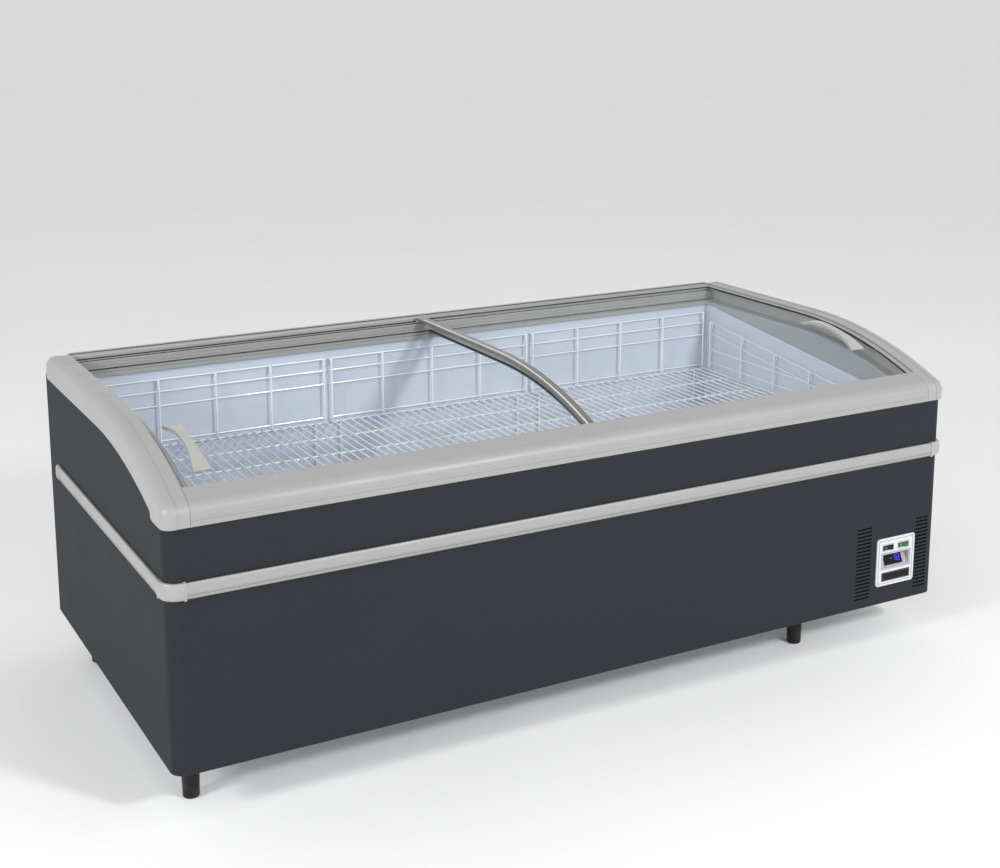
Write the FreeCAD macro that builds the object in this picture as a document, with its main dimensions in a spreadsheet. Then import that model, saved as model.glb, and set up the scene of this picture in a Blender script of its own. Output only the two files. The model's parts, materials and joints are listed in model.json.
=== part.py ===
"""Supermarket island chest freezer with two sliding curved glass lids.

Frame: millimetres, +X along the length (to the right, seen from the front),
the front faces -Y, +Z is up, and the origin is on the floor under the middle
of the overall box.

The lids, the end caps and the top profiles all follow one side curve: level
over the back half, then a large arc that falls towards the front. "Offset"
below means the depth under that curve, measured square to it.
"""
import FreeCAD, Part
import math
import os
from types import SimpleNamespace

from FreeCAD import Placement, Rotation, Vector

doc = FreeCAD.newDocument("chest_freezer")

# ---------------------------------------------------------------------------
# Driving dimensions
# ---------------------------------------------------------------------------
DRIVING = {
    # overall
    "half_length": 1041.0,       # cabinet only, from the middle to the end panel
    "front_y": -496.0,           # cabinet front face
    "back_y": 506.0,             # cabinet back face
    "top_z": 790.0,              # highest point of the top frame
    "base_z": 108.0,             # underside of the cabinet
    "corner_radius": 30.0,       # vertical corners of the cabinet
    "casing_thick": 1.0,
    # side curve of the top
    "curve_radius": 1230.0,
    "cap_depth": 56.0,           # offset of the end caps' lower edge
    "rim_front_z": 642.0,        # lower edge of the front profile
    "lobe_y": -412.0,            # the end caps drop to that level in front of this
    "skirt_proud": 2.5,          # top frame stands proud of the casing
    "skirt_lap": 8.0,            # and laps down over its upper edge
    "nose_radius": 30.0,         # rounding between front face and side curve
    "cap_inner_x": 986.0,        # inner face of the end caps
    "cap_round": 22.0,           # rounding of the caps' outer edge
    # lids
    "lid_end_x": 984.0,
    "lid_length": 1008.0,
    "glass_thick": 4.0,
    "upper_offset": 6.0,         # top of the upper lid's glass
    "lower_offset": 33.0,        # top of the lower lid's glass
    "frame_outer_w": 16.0,
    "frame_inner_w": 26.0,
    "frame_wall": 2.0,
    "runner_w": 14.0,
    "runner_depth": 6.0,
    "handle_x": 912.0,
    "handle_rise": 20.0,
    "handle_length": 215.0,
    "handle_width": 42.0,
    "handle_waist": 20.0,
    "handle_thick": 5.5,
    # storage space
    "liner_x": 950.0,
    "liner_front_y": -420.0,
    "liner_back_y": 430.0,
    "liner_floor_z": 190.0,
    "liner_step_x": 640.0,       # the floor steps up here, over the machinery
    "liner_step_z": 430.0,
    "liner_thick": 1.0,
    "liner_rim_back_z": 737.5,
    "liner_rim_front_z": 640.0,
    "grid_z": 540.0,             # top of the wire floor
    "guard_top_z": 712.0,
    "wire_thick": 4.0,
    # machine room
    "room_x": 690.0,
    "room_top_z": 396.0,
    # bumper rail
    "bumper_bottom_z": 492.0,
    "bumper_height": 36.0,
    "bumper_proud": 10.0,
    "bumper_end_y": 413.0,
    # control panel
    "plate_x": 836.0,
    "plate_z": 158.0,
    "plate_w": 128.0,
    "plate_h": 130.0,
    "plate_thick": 3.0,
    "vent_pitch": 10.0,
    "vent_height": 4.5,
    "vent_bottom_z": 132.0,
    # feet
    "foot_left_x": -975.0,
    "foot_right_x": 664.0,
    "foot_y": 385.0,
    "foot_radius": 21.0,
    "foot_tip_radius": 18.0,
    # fan
    "fan_x": 865.0,
    "fan_y": -345.0,
    "fan_z": 250.0,
    "fan_radius": 100.0,
}

sheet = doc.addObject("Spreadsheet::Sheet", "sizes")
for row, (alias, value) in enumerate(DRIVING.items(), start=1):
    sheet.set(f"A{row}", alias)
    sheet.set(f"B{row}", str(value))
    sheet.setAlias(f"B{row}", alias)
doc.recompute()
S = SimpleNamespace(**{alias: float(getattr(sheet, alias)) for alias in DRIVING})

GAP = 0.3          # clearance between neighbouring pieces
JOINT = 0.8        # open joint between the rails and the end caps
FAR = 200.0        # how far cutting tools overshoot
SUBPARTS = {}      # node name -> document object


def formula(text):
    """Turn bare aliases in a formula into references to the sheet."""
    words = str(text)
    for alias in sorted(DRIVING, key=len, reverse=True):
        words = words.replace(alias, "<" + str(list(DRIVING).index(alias)) + ">")
    for index, alias in enumerate(DRIVING):
        words = words.replace("<" + str(index) + ">", "sizes." + alias)
    return words


def bind(obj, prop, text):
    obj.setExpression(prop, formula(text))


def keep(obj, name):
    """Mark an object as the finished sub-part of that name."""
    obj.Label = name
    SUBPARTS[name] = obj
    return obj


# ---------------------------------------------------------------------------
# Sketch outlines
# ---------------------------------------------------------------------------
def curve_z(offset, y):
    """Height of the side curve, lowered by an offset, at a place y."""
    radius = S.curve_radius - offset
    if y >= 0.0:
        return S.top_z - offset
    return S.top_z - S.curve_radius + math.sqrt(radius * radius - y * y)


class Pen:
    """Draws one closed outline of lines and arcs in a sketch's own axes."""

    def __init__(self, u, v):
        self.first = Vector(u, v, 0)
        self.at = Vector(u, v, 0)
        self.edges = []

    def line(self, u, v):
        end = Vector(u, v, 0)
        if end.distanceToPoint(self.at) > 1e-6:
            self.edges.append(Part.LineSegment(self.at, end))
        self.at = end
        return self

    def arc(self, mid_u, mid_v, u, v):
        end = Vector(u, v, 0)
        self.edges.append(Part.Arc(self.at, Vector(mid_u, mid_v, 0), end))
        self.at = end
        return self

    def follow(self, offset, y):
        """Run along the side curve at an offset, to the place y."""
        start = self.at.x
        if start * y < 0.0:
            self.follow(offset, 0.0)
            return self.follow(offset, y)
        if start > 0.0 or y > 0.0:
            return self.line(y, curve_z(offset, y))
        middle = (start + y) / 2.0
        return self.arc(middle, curve_z(offset, middle), y, curve_z(offset, y))

    def close(self):
        return self.line(self.first.x, self.first.y).edges


def rectangle(u0, v0, u1, v1):
    return Pen(u0, v0).line(u1, v0).line(u1, v1).line(u0, v1).close()


def rounded(u0, v0, u1, v1, radius):
    """Rectangle with four round corners."""
    cut = radius * (1.0 - math.sqrt(0.5))
    pen = Pen(u0 + radius, v0).line(u1 - radius, v0)
    pen.arc(u1 - cut, v0 + cut, u1, v0 + radius).line(u1, v1 - radius)
    pen.arc(u1 - cut, v1 - cut, u1 - radius, v1).line(u0 + radius, v1)
    pen.arc(u0 + cut, v1 - cut, u0, v1 - radius).line(u0, v0 + radius)
    pen.arc(u0 + cut, v0 + cut, u0 + radius, v0)
    return pen.edges


def circle(u, v, radius):
    return [Part.Circle(Vector(u, v, 0), Vector(0, 0, 1), radius)]


def band(top_offset, bottom_offset, front_y, rear_y):
    """Outline of a sheet that lies along the side curve."""
    pen = Pen(front_y, curve_z(top_offset, front_y)).follow(top_offset, rear_y)
    pen.line(rear_y, curve_z(bottom_offset, rear_y)).follow(bottom_offset, front_y)
    return pen.close()


# ---------------------------------------------------------------------------
# Ways of making a piece
# ---------------------------------------------------------------------------
def origin_plane(body, role):
    return next(f for f in body.Origin.OriginFeatures if f.Role == role)


def add_sketch(body, role, edges, start):
    """Sketch on one of the body's own planes, moved along the plane's normal."""
    sketch = body.newObject("Sketcher::SketchObject", "outline")
    sketch.AttachmentSupport = [(origin_plane(body, role), "")]
    sketch.MapMode = "FlatFace"
    sketch.addGeometry(edges, False)
    bind(sketch, "AttachmentOffset.Base.z", start)
    return sketch


def pad(name, role, edges, start, length):
    """Body with one padded sketch. YZ grows to +X, XY to +Z and XZ to -Y."""
    body = doc.addObject("PartDesign::Body", name)
    body.Label = name
    sketch = add_sketch(body, role, edges, start)
    feature = body.newObject("PartDesign::Pad", "pad")
    feature.Profile = sketch
    bind(feature, "Length", length)
    body.Tip = feature
    return body


def pocket(body, role, edges, start, length):
    """Cut a sketch into the body: YZ cuts to -X, XY to -Z and XZ to +Y."""
    doc.recompute()
    before = body.Shape.Volume
    sketch = add_sketch(body, role, edges, start)
    feature = body.newObject("PartDesign::Pocket", "pocket")
    feature.Profile = sketch
    bind(feature, "Length", length)
    body.Tip = feature
    doc.recompute()
    if not body.Shape.Volume < before - 1e-3:
        raise RuntimeError(body.Label + ": a pocket cut nothing")
    return feature, sketch


def repeat(body, feature, sketch, axis, step, count):
    """Repeat a feature along a sketch axis."""
    pattern = body.newObject("PartDesign::LinearPattern", "row")
    pattern.Originals = [feature]
    pattern.Direction = (sketch, [axis])
    bind(pattern, "Length", f"({step}) * {count - 1}")
    pattern.Occurrences = count
    body.Tip = pattern
    doc.recompute()
    return pattern


def revolve(name, profile, at, axis=Vector(0, 0, 1)):
    """Body turned about its own Z axis; profile is (radius, height) pairs."""
    body = doc.addObject("PartDesign::Body", name)
    body.Label = name
    pen = Pen(*profile[0])
    for radius, height in profile[1:]:
        pen.line(radius, height)
    sketch = add_sketch(body, "XZ_Plane", pen.close(), 0)
    feature = body.newObject("PartDesign::Revolution", "turned")
    feature.Profile = sketch
    feature.ReferenceAxis = (sketch, ["V_Axis"])
    feature.Angle = 360.0
    body.Tip = feature
    body.Placement = Placement(Vector(*at), Rotation(Vector(0, 0, 1), axis))
    return body


def block(name, x, y, z):
    """Box between two formulas on each axis."""
    box = doc.addObject("Part::Box", name)
    for side, prop, (low, high) in zip("xyz", ("Length", "Width", "Height"), (x, y, z)):
        bind(box, prop, f"({high}) - ({low})")
        bind(box, "Placement.Base." + side, low)
    return box


def rod(name, start, axis, length, radius):
    cylinder = doc.addObject("Part::Cylinder", name)
    bind(cylinder, "Radius", radius)
    bind(cylinder, "Height", length)
    cylinder.Placement = Placement(Vector(*start), Rotation(Vector(0, 0, 1), Vector(*axis)))
    return cylinder


def cut(name, base, *tools):
    """Base without each tool in turn."""
    result = base
    for tool in tools:
        step = doc.addObject("Part::Cut", name)
        step.Base = result
        step.Tool = tool
        result = step
    return result


def join(name, *pieces):
    fused = doc.addObject("Part::MultiFuse", name)
    fused.Shapes = list(pieces)
    return fused


def common(name, first, second):
    both = doc.addObject("Part::Common", name)
    both.Base = first
    both.Tool = second
    return both


def feature(name, shape):
    """Plain shape, for what neither sketches nor primitives make."""
    obj = doc.addObject("Part::Feature", name)
    obj.Shape = shape
    return obj


def group(name, pieces):
    """Several separate solids that share a node."""
    doc.recompute()
    return feature(name, Part.makeCompound([piece.Shape.copy() for piece in pieces]))


def pipe(name, points, bend, radius):
    """Tube along straight runs joined by tangent arcs of one bend radius."""
    corners = [Vector(*p) for p in points]
    edges = []
    at = corners[0]
    for before, corner, after in zip(corners, corners[1:], corners[2:]):
        into = (corner - before).normalize()
        out = (after - corner).normalize()
        turn = into.getAngle(out)
        reach = bend * math.tan(turn / 2.0)
        begin = corner - into * reach
        end = corner + out * reach
        inward = (out - into).normalize()
        middle = corner + inward * (bend / math.cos(turn / 2.0) - bend)
        edges.append(Part.LineSegment(at, begin).toShape())
        edges.append(Part.Arc(begin, middle, end).toShape())
        at = end
    edges.append(Part.LineSegment(at, corners[-1]).toShape())
    spine = Part.Wire(edges)
    heading = corners[1] - corners[0]
    section = Part.Wire([Part.makeCircle(radius, corners[0], heading)])
    tube = spine.makePipeShell([section], True, False)
    expected = math.pi * radius * radius * spine.Length
    if abs(tube.Volume / expected - 1.0) > 0.02:
        raise RuntimeError(f"{name}: tube volume is {tube.Volume / expected:.3f} of its section x length")
    return feature(name, tube)


SIDES = (("left", -1.0), ("right", 1.0))


def x_start(side, low, length):
    """Formula for where a pad towards +X begins, for a piece mirrored left and right."""
    return low if side > 0 else f"-({low}) - ({length})"


# ---------------------------------------------------------------------------
# Outer casing
# ---------------------------------------------------------------------------
def along_upper_edge(pen, lap, back):
    """Follow the cabinet's upper edge, raised by a lap, from the front to the back."""
    offset = S.cap_depth - lap
    lobe_y = S.lobe_y - lap
    pen.line(lobe_y, S.rim_front_z + lap).line(lobe_y, curve_z(offset, lobe_y))
    return pen.follow(offset, back)


def above_cabinet(name, lap):
    """Everything over the cabinet's upper edge, raised by a lap."""
    front = S.front_y - FAR
    back = S.back_y + FAR
    pen = along_upper_edge(Pen(front, S.rim_front_z + lap), lap, back)
    pen.line(back, S.top_z + FAR).line(front, S.top_z + FAR)
    return pad(name, "YZ_Plane", pen.close(), f"-half_length - {FAR}", f"2 * half_length + {2 * FAR}")


def plate_screw_places():
    """Centres of the control plate's four corner screws."""
    inset = 7.0
    return [(x, z) for x in (S.plate_x + inset, S.plate_x + S.plate_w - inset)
            for z in (S.plate_z + inset, S.plate_z + S.plate_h - inset)]


def make_casing():
    """Painted steel wrap: left end, front and right end in one bent sheet."""
    x = S.half_length
    thick = S.casing_thick
    radius = S.corner_radius
    inner = radius - thick
    lean = math.sqrt(0.5)
    turn_x = x - radius
    turn_y = S.front_y + radius
    pen = Pen(-x, S.back_y).line(-x, turn_y)
    pen.arc(-turn_x - radius * lean, turn_y - radius * lean, -turn_x, S.front_y)
    pen.line(turn_x, S.front_y)
    pen.arc(turn_x + radius * lean, turn_y - radius * lean, x, turn_y)
    pen.line(x, S.back_y).line(x - thick, S.back_y).line(x - thick, turn_y)
    pen.arc(turn_x + inner * lean, turn_y - inner * lean, turn_x, S.front_y + thick)
    pen.line(-turn_x, S.front_y + thick)
    pen.arc(-turn_x - inner * lean, turn_y - inner * lean, -x + thick, turn_y)
    pen.line(-x + thick, S.back_y)
    wrap = pad("casing_wrap_sheet", "XY_Plane", pen.close(), "base_z", "top_z - base_z")
    # two columns of vent slots, either side of the control panel's window
    reach = "casing_thick + 4"
    for slot_x0, slot_x1 in ((768.0, 818.0), (968.0, 1010.0)):
        slot = rounded(slot_x0, S.vent_bottom_z, slot_x1, S.vent_bottom_z + S.vent_height, 2.0)
        feature_cut, sketch = pocket(wrap, "XZ_Plane", slot, "-front_y + 2", reach)
        repeat(wrap, feature_cut, sketch, "V_Axis", "vent_pitch", 20)
    margin = 14.0
    window = rectangle(S.plate_x + margin, S.plate_z + margin,
                       S.plate_x + S.plate_w - margin, S.plate_z + S.plate_h - margin)
    pocket(wrap, "XZ_Plane", window, "-front_y + 2", reach)
    for screw_x, screw_z in plate_screw_places():
        pocket(wrap, "XZ_Plane", circle(screw_x, screw_z, 2.0), "-front_y + 2", reach)
    lap = S.skirt_lap
    keep(cut("casing_wrap", wrap, above_cabinet("casing_trim", lap)), "casing_wrap")


GLAND_X = 1012.0
GLAND_Z = 150.0


def make_back():
    """Back sheet between the wrap's ends, with the machine room's grille."""
    half = f"half_length - casing_thick - {GAP}"
    sheet_back = block("back_sheet", (f"-({half})", half), ("back_y - casing_thick", "back_y"),
                       ("base_z", f"top_z - cap_depth - {GAP}"))
    window = block("grille_window", (740, 980), ("back_y - 10", "back_y + 10"), (146, 366))
    inlet = rod("gland_hole", (GLAND_X, S.back_y - 10.0, GLAND_Z), (0, 1, 0), 20, 11.5)
    keep(cut("back_panel", sheet_back, window, inlet), "back_panel")

    grille = pad("back_grille", "XZ_Plane", rectangle(730.0, 136.0, 990.0, 376.0),
                 f"-back_y + casing_thick + {GAP}", "casing_thick")
    slot = rounded(746.0, 150.0, 751.0, 362.0, 2.4)
    feature_cut, sketch = pocket(grille, "XZ_Plane", slot, "-back_y + casing_thick + 4", 12)
    repeat(grille, feature_cut, sketch, "H_Axis", 10.2, 23)
    # the grille's pad grows to -Y from just inside the back sheet
    keep(grille, "back_grille")


def make_base():
    """Folded steel tray that carries the cabinet."""
    x = S.half_length - S.casing_thick - GAP
    y0 = S.front_y + S.casing_thick + GAP
    y1 = S.back_y - S.casing_thick - GAP
    radius = S.corner_radius - S.casing_thick
    fold = 2.0
    tray = pad("base_tray", "XY_Plane", rounded(-x, y0, x, y1, radius), "base_z", 22)
    inside = rounded(-x + fold, y0 + fold, x - fold, y1 - fold, radius - fold)
    pocket(tray, "XY_Plane", inside, "base_z + 30", 28.8)
    for foot_x in (S.foot_left_x, S.foot_right_x):
        for side in (-1.0, 1.0):
            hole = circle(foot_x, side * S.foot_y, 5.3)
            pocket(tray, "XY_Plane", hole, "base_z + 10", 20)
    keep(tray, "base_tray")


def make_feet():
    """Black screw-in feet, slightly tapered towards the floor."""
    profile = [(0.0, 0.0), (S.foot_tip_radius - 2.0, 0.0), (S.foot_tip_radius, 2.0),
               (S.foot_radius, S.base_z - GAP), (5.0, S.base_z - GAP), (5.0, S.base_z + 2.8), (0.0, S.base_z + 2.8)]
    for end, foot_x in (("left", S.foot_left_x), ("right", S.foot_right_x)):
        for place, side in (("front", -1.0), ("back", 1.0)):
            name = f"foot_{place}_{end}"
            keep(revolve(name, profile, (foot_x, side * S.foot_y, 0.0)), name)


# ---------------------------------------------------------------------------
# Cabinet inside: liner, foam and evaporator
# ---------------------------------------------------------------------------
def step_outline(x, step_x, floor_z, step_z, top_z):
    """Lengthwise outline of the storage space, with its raised right end."""
    pen = Pen(-x, floor_z).line(step_x, floor_z).line(step_x, step_z)
    return pen.line(x, step_z).line(x, top_z).line(-x, top_z).close()


def rim_z(y):
    """Height of the liner's sloping rim."""
    share = (y - S.liner_front_y) / (S.liner_back_y - S.liner_front_y)
    return S.liner_rim_front_z + share * (S.liner_rim_back_z - S.liner_rim_front_z)


def above_rim(name, lift, reach):
    """Everything over the liner's rim, out to a reach beyond the liner's ends."""
    front = S.liner_front_y - FAR
    back = S.liner_back_y + FAR
    pen = Pen(front, rim_z(front) + lift).line(back, rim_z(back) + lift)
    pen.line(back, S.top_z + 2 * FAR).line(front, S.top_z + 2 * FAR)
    return pad(name, "YZ_Plane", pen.close(), f"-liner_x - {reach}", f"2 * liner_x + {2 * reach}")


COIL_GAP = 11.0      # space between liner and foam that the evaporator tube fills
COIL_RADIUS = 4.0
TAIL_X = 970.0       # the coil's return tube stands this far out


def make_liner():
    t = S.liner_thick
    outer = pad("liner_outer", "XZ_Plane",
                step_outline(S.liner_x + t, S.liner_step_x + t, S.liner_floor_z - t, S.liner_step_z - t, S.top_z),
                "-liner_back_y - liner_thick", "liner_back_y - liner_front_y + 2 * liner_thick")
    inner = pad("liner_space", "XZ_Plane",
                step_outline(S.liner_x, S.liner_step_x, S.liner_floor_z, S.liner_step_z, S.top_z + FAR),
                "-liner_back_y", "liner_back_y - liner_front_y")
    rim_cut = above_rim("liner_rim_cut", 0.0, 50.0)
    drain = rod("drain_hole", (-860.0, 0.0, S.liner_floor_z - 20.0), (0, 0, 1), 40, 12)
    keep(cut("inner_liner", outer, inner, rim_cut, drain), "inner_liner")


def make_foam():
    """Foam between casing and liner, with the machine room left open."""
    wall = 5.0
    body = pad("foam_block", "XY_Plane",
               rounded(-S.half_length + wall, S.front_y + wall, S.half_length - wall,
                       S.back_y - wall, S.corner_radius - wall),
               "base_z + 3.5", "top_z - base_z")
    over = above_cabinet("foam_trim", -6.0)
    cheeks = above_rim("foam_cheeks", 0.7, S.cap_inner_x + 1.0 - S.liner_x)
    t = S.liner_thick
    gap = COIL_GAP
    cavity = pad("foam_cavity", "XZ_Plane",
                 step_outline(S.liner_x + t + gap, S.liner_step_x + t + GAP, S.liner_floor_z - t - GAP,
                              S.liner_step_z - t - GAP, S.top_z + FAR),
                 f"-liner_back_y - {t + gap}", f"liner_back_y - liner_front_y + {2 * (t + gap)}")
    room = block("room_space", ("room_x", "half_length + 50"), ("front_y - 50", "back_y + 50"),
                 (0, "room_top_z"))
    return_side = block("return_space", ("liner_x", TAIL_X + 6.0), (-440, 440), ("liner_step_z - 2", 800))
    chases = [block("chase", ("liner_x - 8", TAIL_X + 6.0), (y0, y1), ("room_top_z - 10", "liner_step_z + 10"))
              for y0, y1 in ((300, 340), (-220, -180))]
    drain = rod("foam_drain", (-860.0, 0.0, 100.0), (0, 0, 1), 120, 16)
    keep(cut("foam_insulation", body, over, cheeks, cavity, room, return_side, *chases, drain), "foam_insulation")


def make_evaporator():
    """Copper tube wound round the liner, both ends led down to the machine room."""
    x = S.liner_x + S.liner_thick + 1.5 + COIL_RADIUS
    front = S.liner_front_y - S.liner_thick - 1.5 - COIL_RADIUS
    back = S.liner_back_y + S.liner_thick + 1.5 + COIL_RADIUS
    first_z = 462.0
    pitch = 36.0
    points = [(x, 320.0, S.room_top_z - 6.0), (x, 320.0, first_z)]
    for turn in range(5):
        z = first_z + turn * pitch
        points += [(x, back, z), (-x, back, z), (-x, front, z), (x, front, z)]
    points.pop()
    last_z = first_z + 4 * pitch
    points += [(TAIL_X, front, last_z), (TAIL_X, -200.0, last_z), (TAIL_X, -200.0, S.room_top_z - 6.0)]
    keep(pipe("evaporator_tube", points, 7.0, COIL_RADIUS), "evaporator_tube")
    profile = [(0.0, 0.0), (11.7, 0.0), (11.7, 12.0), (16.0, 12.3), (16.0, 15.0), (6.0, 17.0), (0.0, 17.0)]
    keep(revolve("drain_plug", profile, (-860.0, 0.0, S.liner_floor_z - 12.0)), "drain_plug")


# ---------------------------------------------------------------------------
# Top frame
# ---------------------------------------------------------------------------
def nose(pen, inner_z, swell=0.0):
    """Front face, its large rounding, and on to the side curve, all raised by a swell."""
    face_y = S.front_y - S.skirt_proud - swell
    radius = S.nose_radius + swell
    centre_y = face_y + radius
    ring = S.curve_radius - S.nose_radius
    curve_centre_z = S.top_z - S.curve_radius
    centre_z = curve_centre_z + math.sqrt(ring * ring - centre_y * centre_y)
    length = math.hypot(centre_y, centre_z - curve_centre_z)
    out_y = centre_y / length
    out_z = (centre_z - curve_centre_z) / length
    lean = math.hypot(out_y - 1.0, out_z)
    mid_y = centre_y + radius * (out_y - 1.0) / lean
    mid_z = centre_z + radius * out_z / lean
    pen.line(face_y, inner_z).line(face_y, centre_z)
    pen.arc(mid_y, mid_z, centre_y + radius * out_y, centre_z + radius * out_z)
    return pen


LIP = 2.5            # front profile's lip over the lids
SHELF = 3.0          # shelf thickness
CLEAR = 0.5          # running clearance under a runner


def lid_depths(offset):
    """Offsets of a lid's glass underside and of the shelf its runners slide on."""
    under = offset + S.glass_thick
    return under, under + S.runner_depth + CLEAR


UPPER_FRONT_Y = -456.0
UPPER_REAR_Y = 466.0
LOWER_FRONT_Y = -448.0
LOWER_REAR_Y = 440.0


def make_front_profile():
    """Extruded plastic front rail: a lip, and one shelf for each lid."""
    face_y = S.front_y - S.skirt_proud
    upper_shelf = lid_depths(S.upper_offset)[1]
    lower_shelf = lid_depths(S.lower_offset)[1]
    upper_back_y = UPPER_FRONT_Y - 8.0
    inner_y = S.liner_front_y - 4.0
    lap_z = S.rim_front_z + S.skirt_lap + GAP
    skirt_y = S.front_y - 0.2
    sill_z = S.rim_front_z - 1.5
    pen = Pen(face_y, S.rim_front_z)
    nose(pen, S.rim_front_z)
    lip_y = -441.0
    pen.follow(0.0, lip_y)
    pen.line(lip_y + 2.5, curve_z(LIP, lip_y + 2.5)).follow(LIP, upper_back_y)
    pen.line(upper_back_y, curve_z(upper_shelf, upper_back_y)).follow(upper_shelf, -440.0)
    pen.line(-440.0, curve_z(upper_shelf + SHELF, -440.0)).follow(upper_shelf + SHELF, upper_back_y)
    pen.line(upper_back_y, curve_z(lower_shelf, upper_back_y)).follow(lower_shelf, inner_y)
    pen.line(inner_y, sill_z).line(S.front_y + 3.0, sill_z).line(S.front_y + 3.0, lap_z)
    pen.line(skirt_y, lap_z).line(skirt_y, S.rim_front_z)
    body = pad("front_profile", "YZ_Plane", pen.close(), f"-cap_inner_x + {JOINT}", f"2 * cap_inner_x - {2 * JOINT}")
    chamber = rounded(S.front_y + 4.0, 656.0, upper_back_y - 4.0, 676.0, 3.0)
    pocket(body, "YZ_Plane", chamber, "cap_inner_x + 10", "2 * cap_inner_x + 40")
    line_z = S.rim_front_z + 12.0
    groove = Pen(face_y - 1.0, line_z + 1.4).line(face_y - 1.0, line_z - 1.0)
    groove.line(face_y + 0.9, line_z).line(face_y + 0.9, line_z + 0.6)
    pocket(body, "YZ_Plane", groove.close(), "cap_inner_x + 10", "2 * cap_inner_x + 40")
    keep(body, "front_profile")


def make_back_profile():
    """Extruded plastic back rail: a round top and two stepped tracks."""
    upper_floor = S.top_z - lid_depths(S.upper_offset)[1]
    lower_floor = S.top_z - lid_depths(S.lower_offset)[1]
    seat_z = S.top_z - S.cap_depth
    rail_y = UPPER_REAR_Y + 8.0
    step_y = LOWER_REAR_Y + 6.0
    lip_y = S.liner_back_y - 12.0
    back = S.back_y
    big = 12.0
    small = 9.0
    lean = 1.0 - math.sqrt(0.5)
    rim = S.liner_rim_back_z + GAP
    pen = Pen(back, seat_z).line(back, S.top_z - big)
    pen.arc(back - big * lean, S.top_z - big * lean, back - big, S.top_z)
    pen.line(rail_y + small, S.top_z)
    pen.arc(rail_y + small * lean, S.top_z - small * lean, rail_y, S.top_z - small)
    pen.line(rail_y, upper_floor).line(step_y, upper_floor)
    # two fine lines run along the step's face
    for line_z in (upper_floor - 8.0, upper_floor - 17.0):
        pen.line(step_y, line_z + 1.5).line(step_y + 1.6, line_z + 1.0)
        pen.line(step_y + 1.6, line_z - 0.2).line(step_y, line_z - 0.6)
    pen.line(step_y, lower_floor).line(lip_y, lower_floor).line(lip_y, rim)
    pen.line(step_y, rim).line(step_y, seat_z)
    body = pad("back_profile", "YZ_Plane", pen.close(), f"-cap_inner_x + {JOINT}", f"2 * cap_inner_x - {2 * JOINT}")
    chamber = rounded(step_y + 5.0, seat_z + 5.0, back - 5.0, upper_floor - 5.0, 3.0)
    pocket(body, "YZ_Plane", chamber, "cap_inner_x + 10", "2 * cap_inner_x + 40")
    keep(body, "back_profile")


def cap_region(swell):
    """Side outline of an end cap, from the swollen side curve down to its lower edge."""
    level = S.rim_front_z
    corner = 34.0
    toe = 14.0
    lean = 1.0 - math.sqrt(0.5)
    top = S.top_z + swell
    pen = Pen(S.front_y - S.skirt_proud - swell, level)
    nose(pen, level, swell)
    pen.follow(-swell, S.back_y - corner)
    pen.arc(S.back_y - corner * lean, top - corner * lean, S.back_y, top - corner)
    pen.line(S.back_y, curve_z(S.cap_depth, S.back_y)).follow(S.cap_depth, S.lobe_y)
    pen.line(S.lobe_y, level + toe)
    pen.arc(S.lobe_y - toe * lean, level + toe * lean, S.lobe_y - toe, level)
    return pen.close()


STRIP_W = 28.0       # flat strip along each cap's inner side, beside its rounded roll


def make_end_caps():
    """Moulded end pieces of the top frame, open underneath."""
    roll_low = f"cap_inner_x + {STRIP_W}"
    roll_width = f"half_length + skirt_proud - cap_inner_x - {STRIP_W}"
    for end, side in SIDES:
        outer = pad(f"cap_{end}_roll", "YZ_Plane", cap_region(1.2), x_start(side, roll_low, roll_width),
                    roll_width)
        doc.recompute()
        face_x = side * (S.half_length + S.skirt_proud)
        rounded_edges = []
        for index, edge in enumerate(outer.Shape.Edges, start=1):
            ends = [vertex.Point for vertex in edge.Vertexes]
            on_face = all(abs(p.x - face_x) < 1e-3 for p in ends)
            on_lower_edge = all(p.z < curve_z(S.cap_depth, max(p.y, S.lobe_y)) + 1.0 for p in ends)
            on_bottom = all(p.z < S.rim_front_z + 1.0 for p in ends)
            if on_face and not on_lower_edge and not on_bottom:
                rounded_edges.append((index, S.cap_round, S.cap_round))
        fillet = doc.addObject("Part::Fillet", f"cap_{end}_rounded")
        fillet.Base = outer
        fillet.Edges = rounded_edges
        strip_width = f"{STRIP_W} + 0.5"
        strip = pad(f"cap_{end}_strip", "YZ_Plane", cap_region(0.0), x_start(side, "cap_inner_x", strip_width),
                    strip_width)
        # slot for the casing's upper edge, and the hollow under the skin
        slot = pad(f"cap_{end}_slot", "YZ_Plane", slot_region(S.skirt_lap + GAP),
                   x_start(side, "half_length - casing_thick - 0.3", "casing_thick + 0.5"), "casing_thick + 0.5")
        hollow = pad(f"cap_{end}_hollow", "YZ_Plane", hollow_region(9.0),
                     x_start(side, "cap_inner_x + 4", "half_length - 12 - cap_inner_x - 4"),
                     "half_length - 12 - cap_inner_x - 4")
        front_slot = block(f"cap_{end}_front_slot", ("cap_inner_x - 5", "half_length - corner_radius + 3")
                           if side > 0 else ("-half_length + corner_radius - 3", "-cap_inner_x + 5"),
                           ("front_y - 0.2", "front_y + 3"), ("rim_front_z - 5", f"rim_front_z + skirt_lap + {GAP}"))
        turn = rod(f"cap_{end}_turn", (side * (S.half_length - S.corner_radius), S.front_y + S.corner_radius,
                                       S.rim_front_z - 5.0), (0, 0, 1), f"skirt_lap + 5 + {GAP}", "corner_radius + 0.2")
        shell = join(f"cap_{end}_shell", fillet, strip)
        keep(cut(f"end_cap_{end}", shell, slot, hollow, front_slot, turn), f"end_cap_{end}")


def slot_region(lap):
    """Side outline of what lies under an end cap's edge, raised by a lap."""
    front = S.front_y + S.corner_radius
    pen = along_upper_edge(Pen(front, S.rim_front_z + lap), lap, S.back_y + 5.0)
    pen.line(S.back_y + 5.0, S.base_z).line(front, S.base_z)
    return pen.close()


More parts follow.
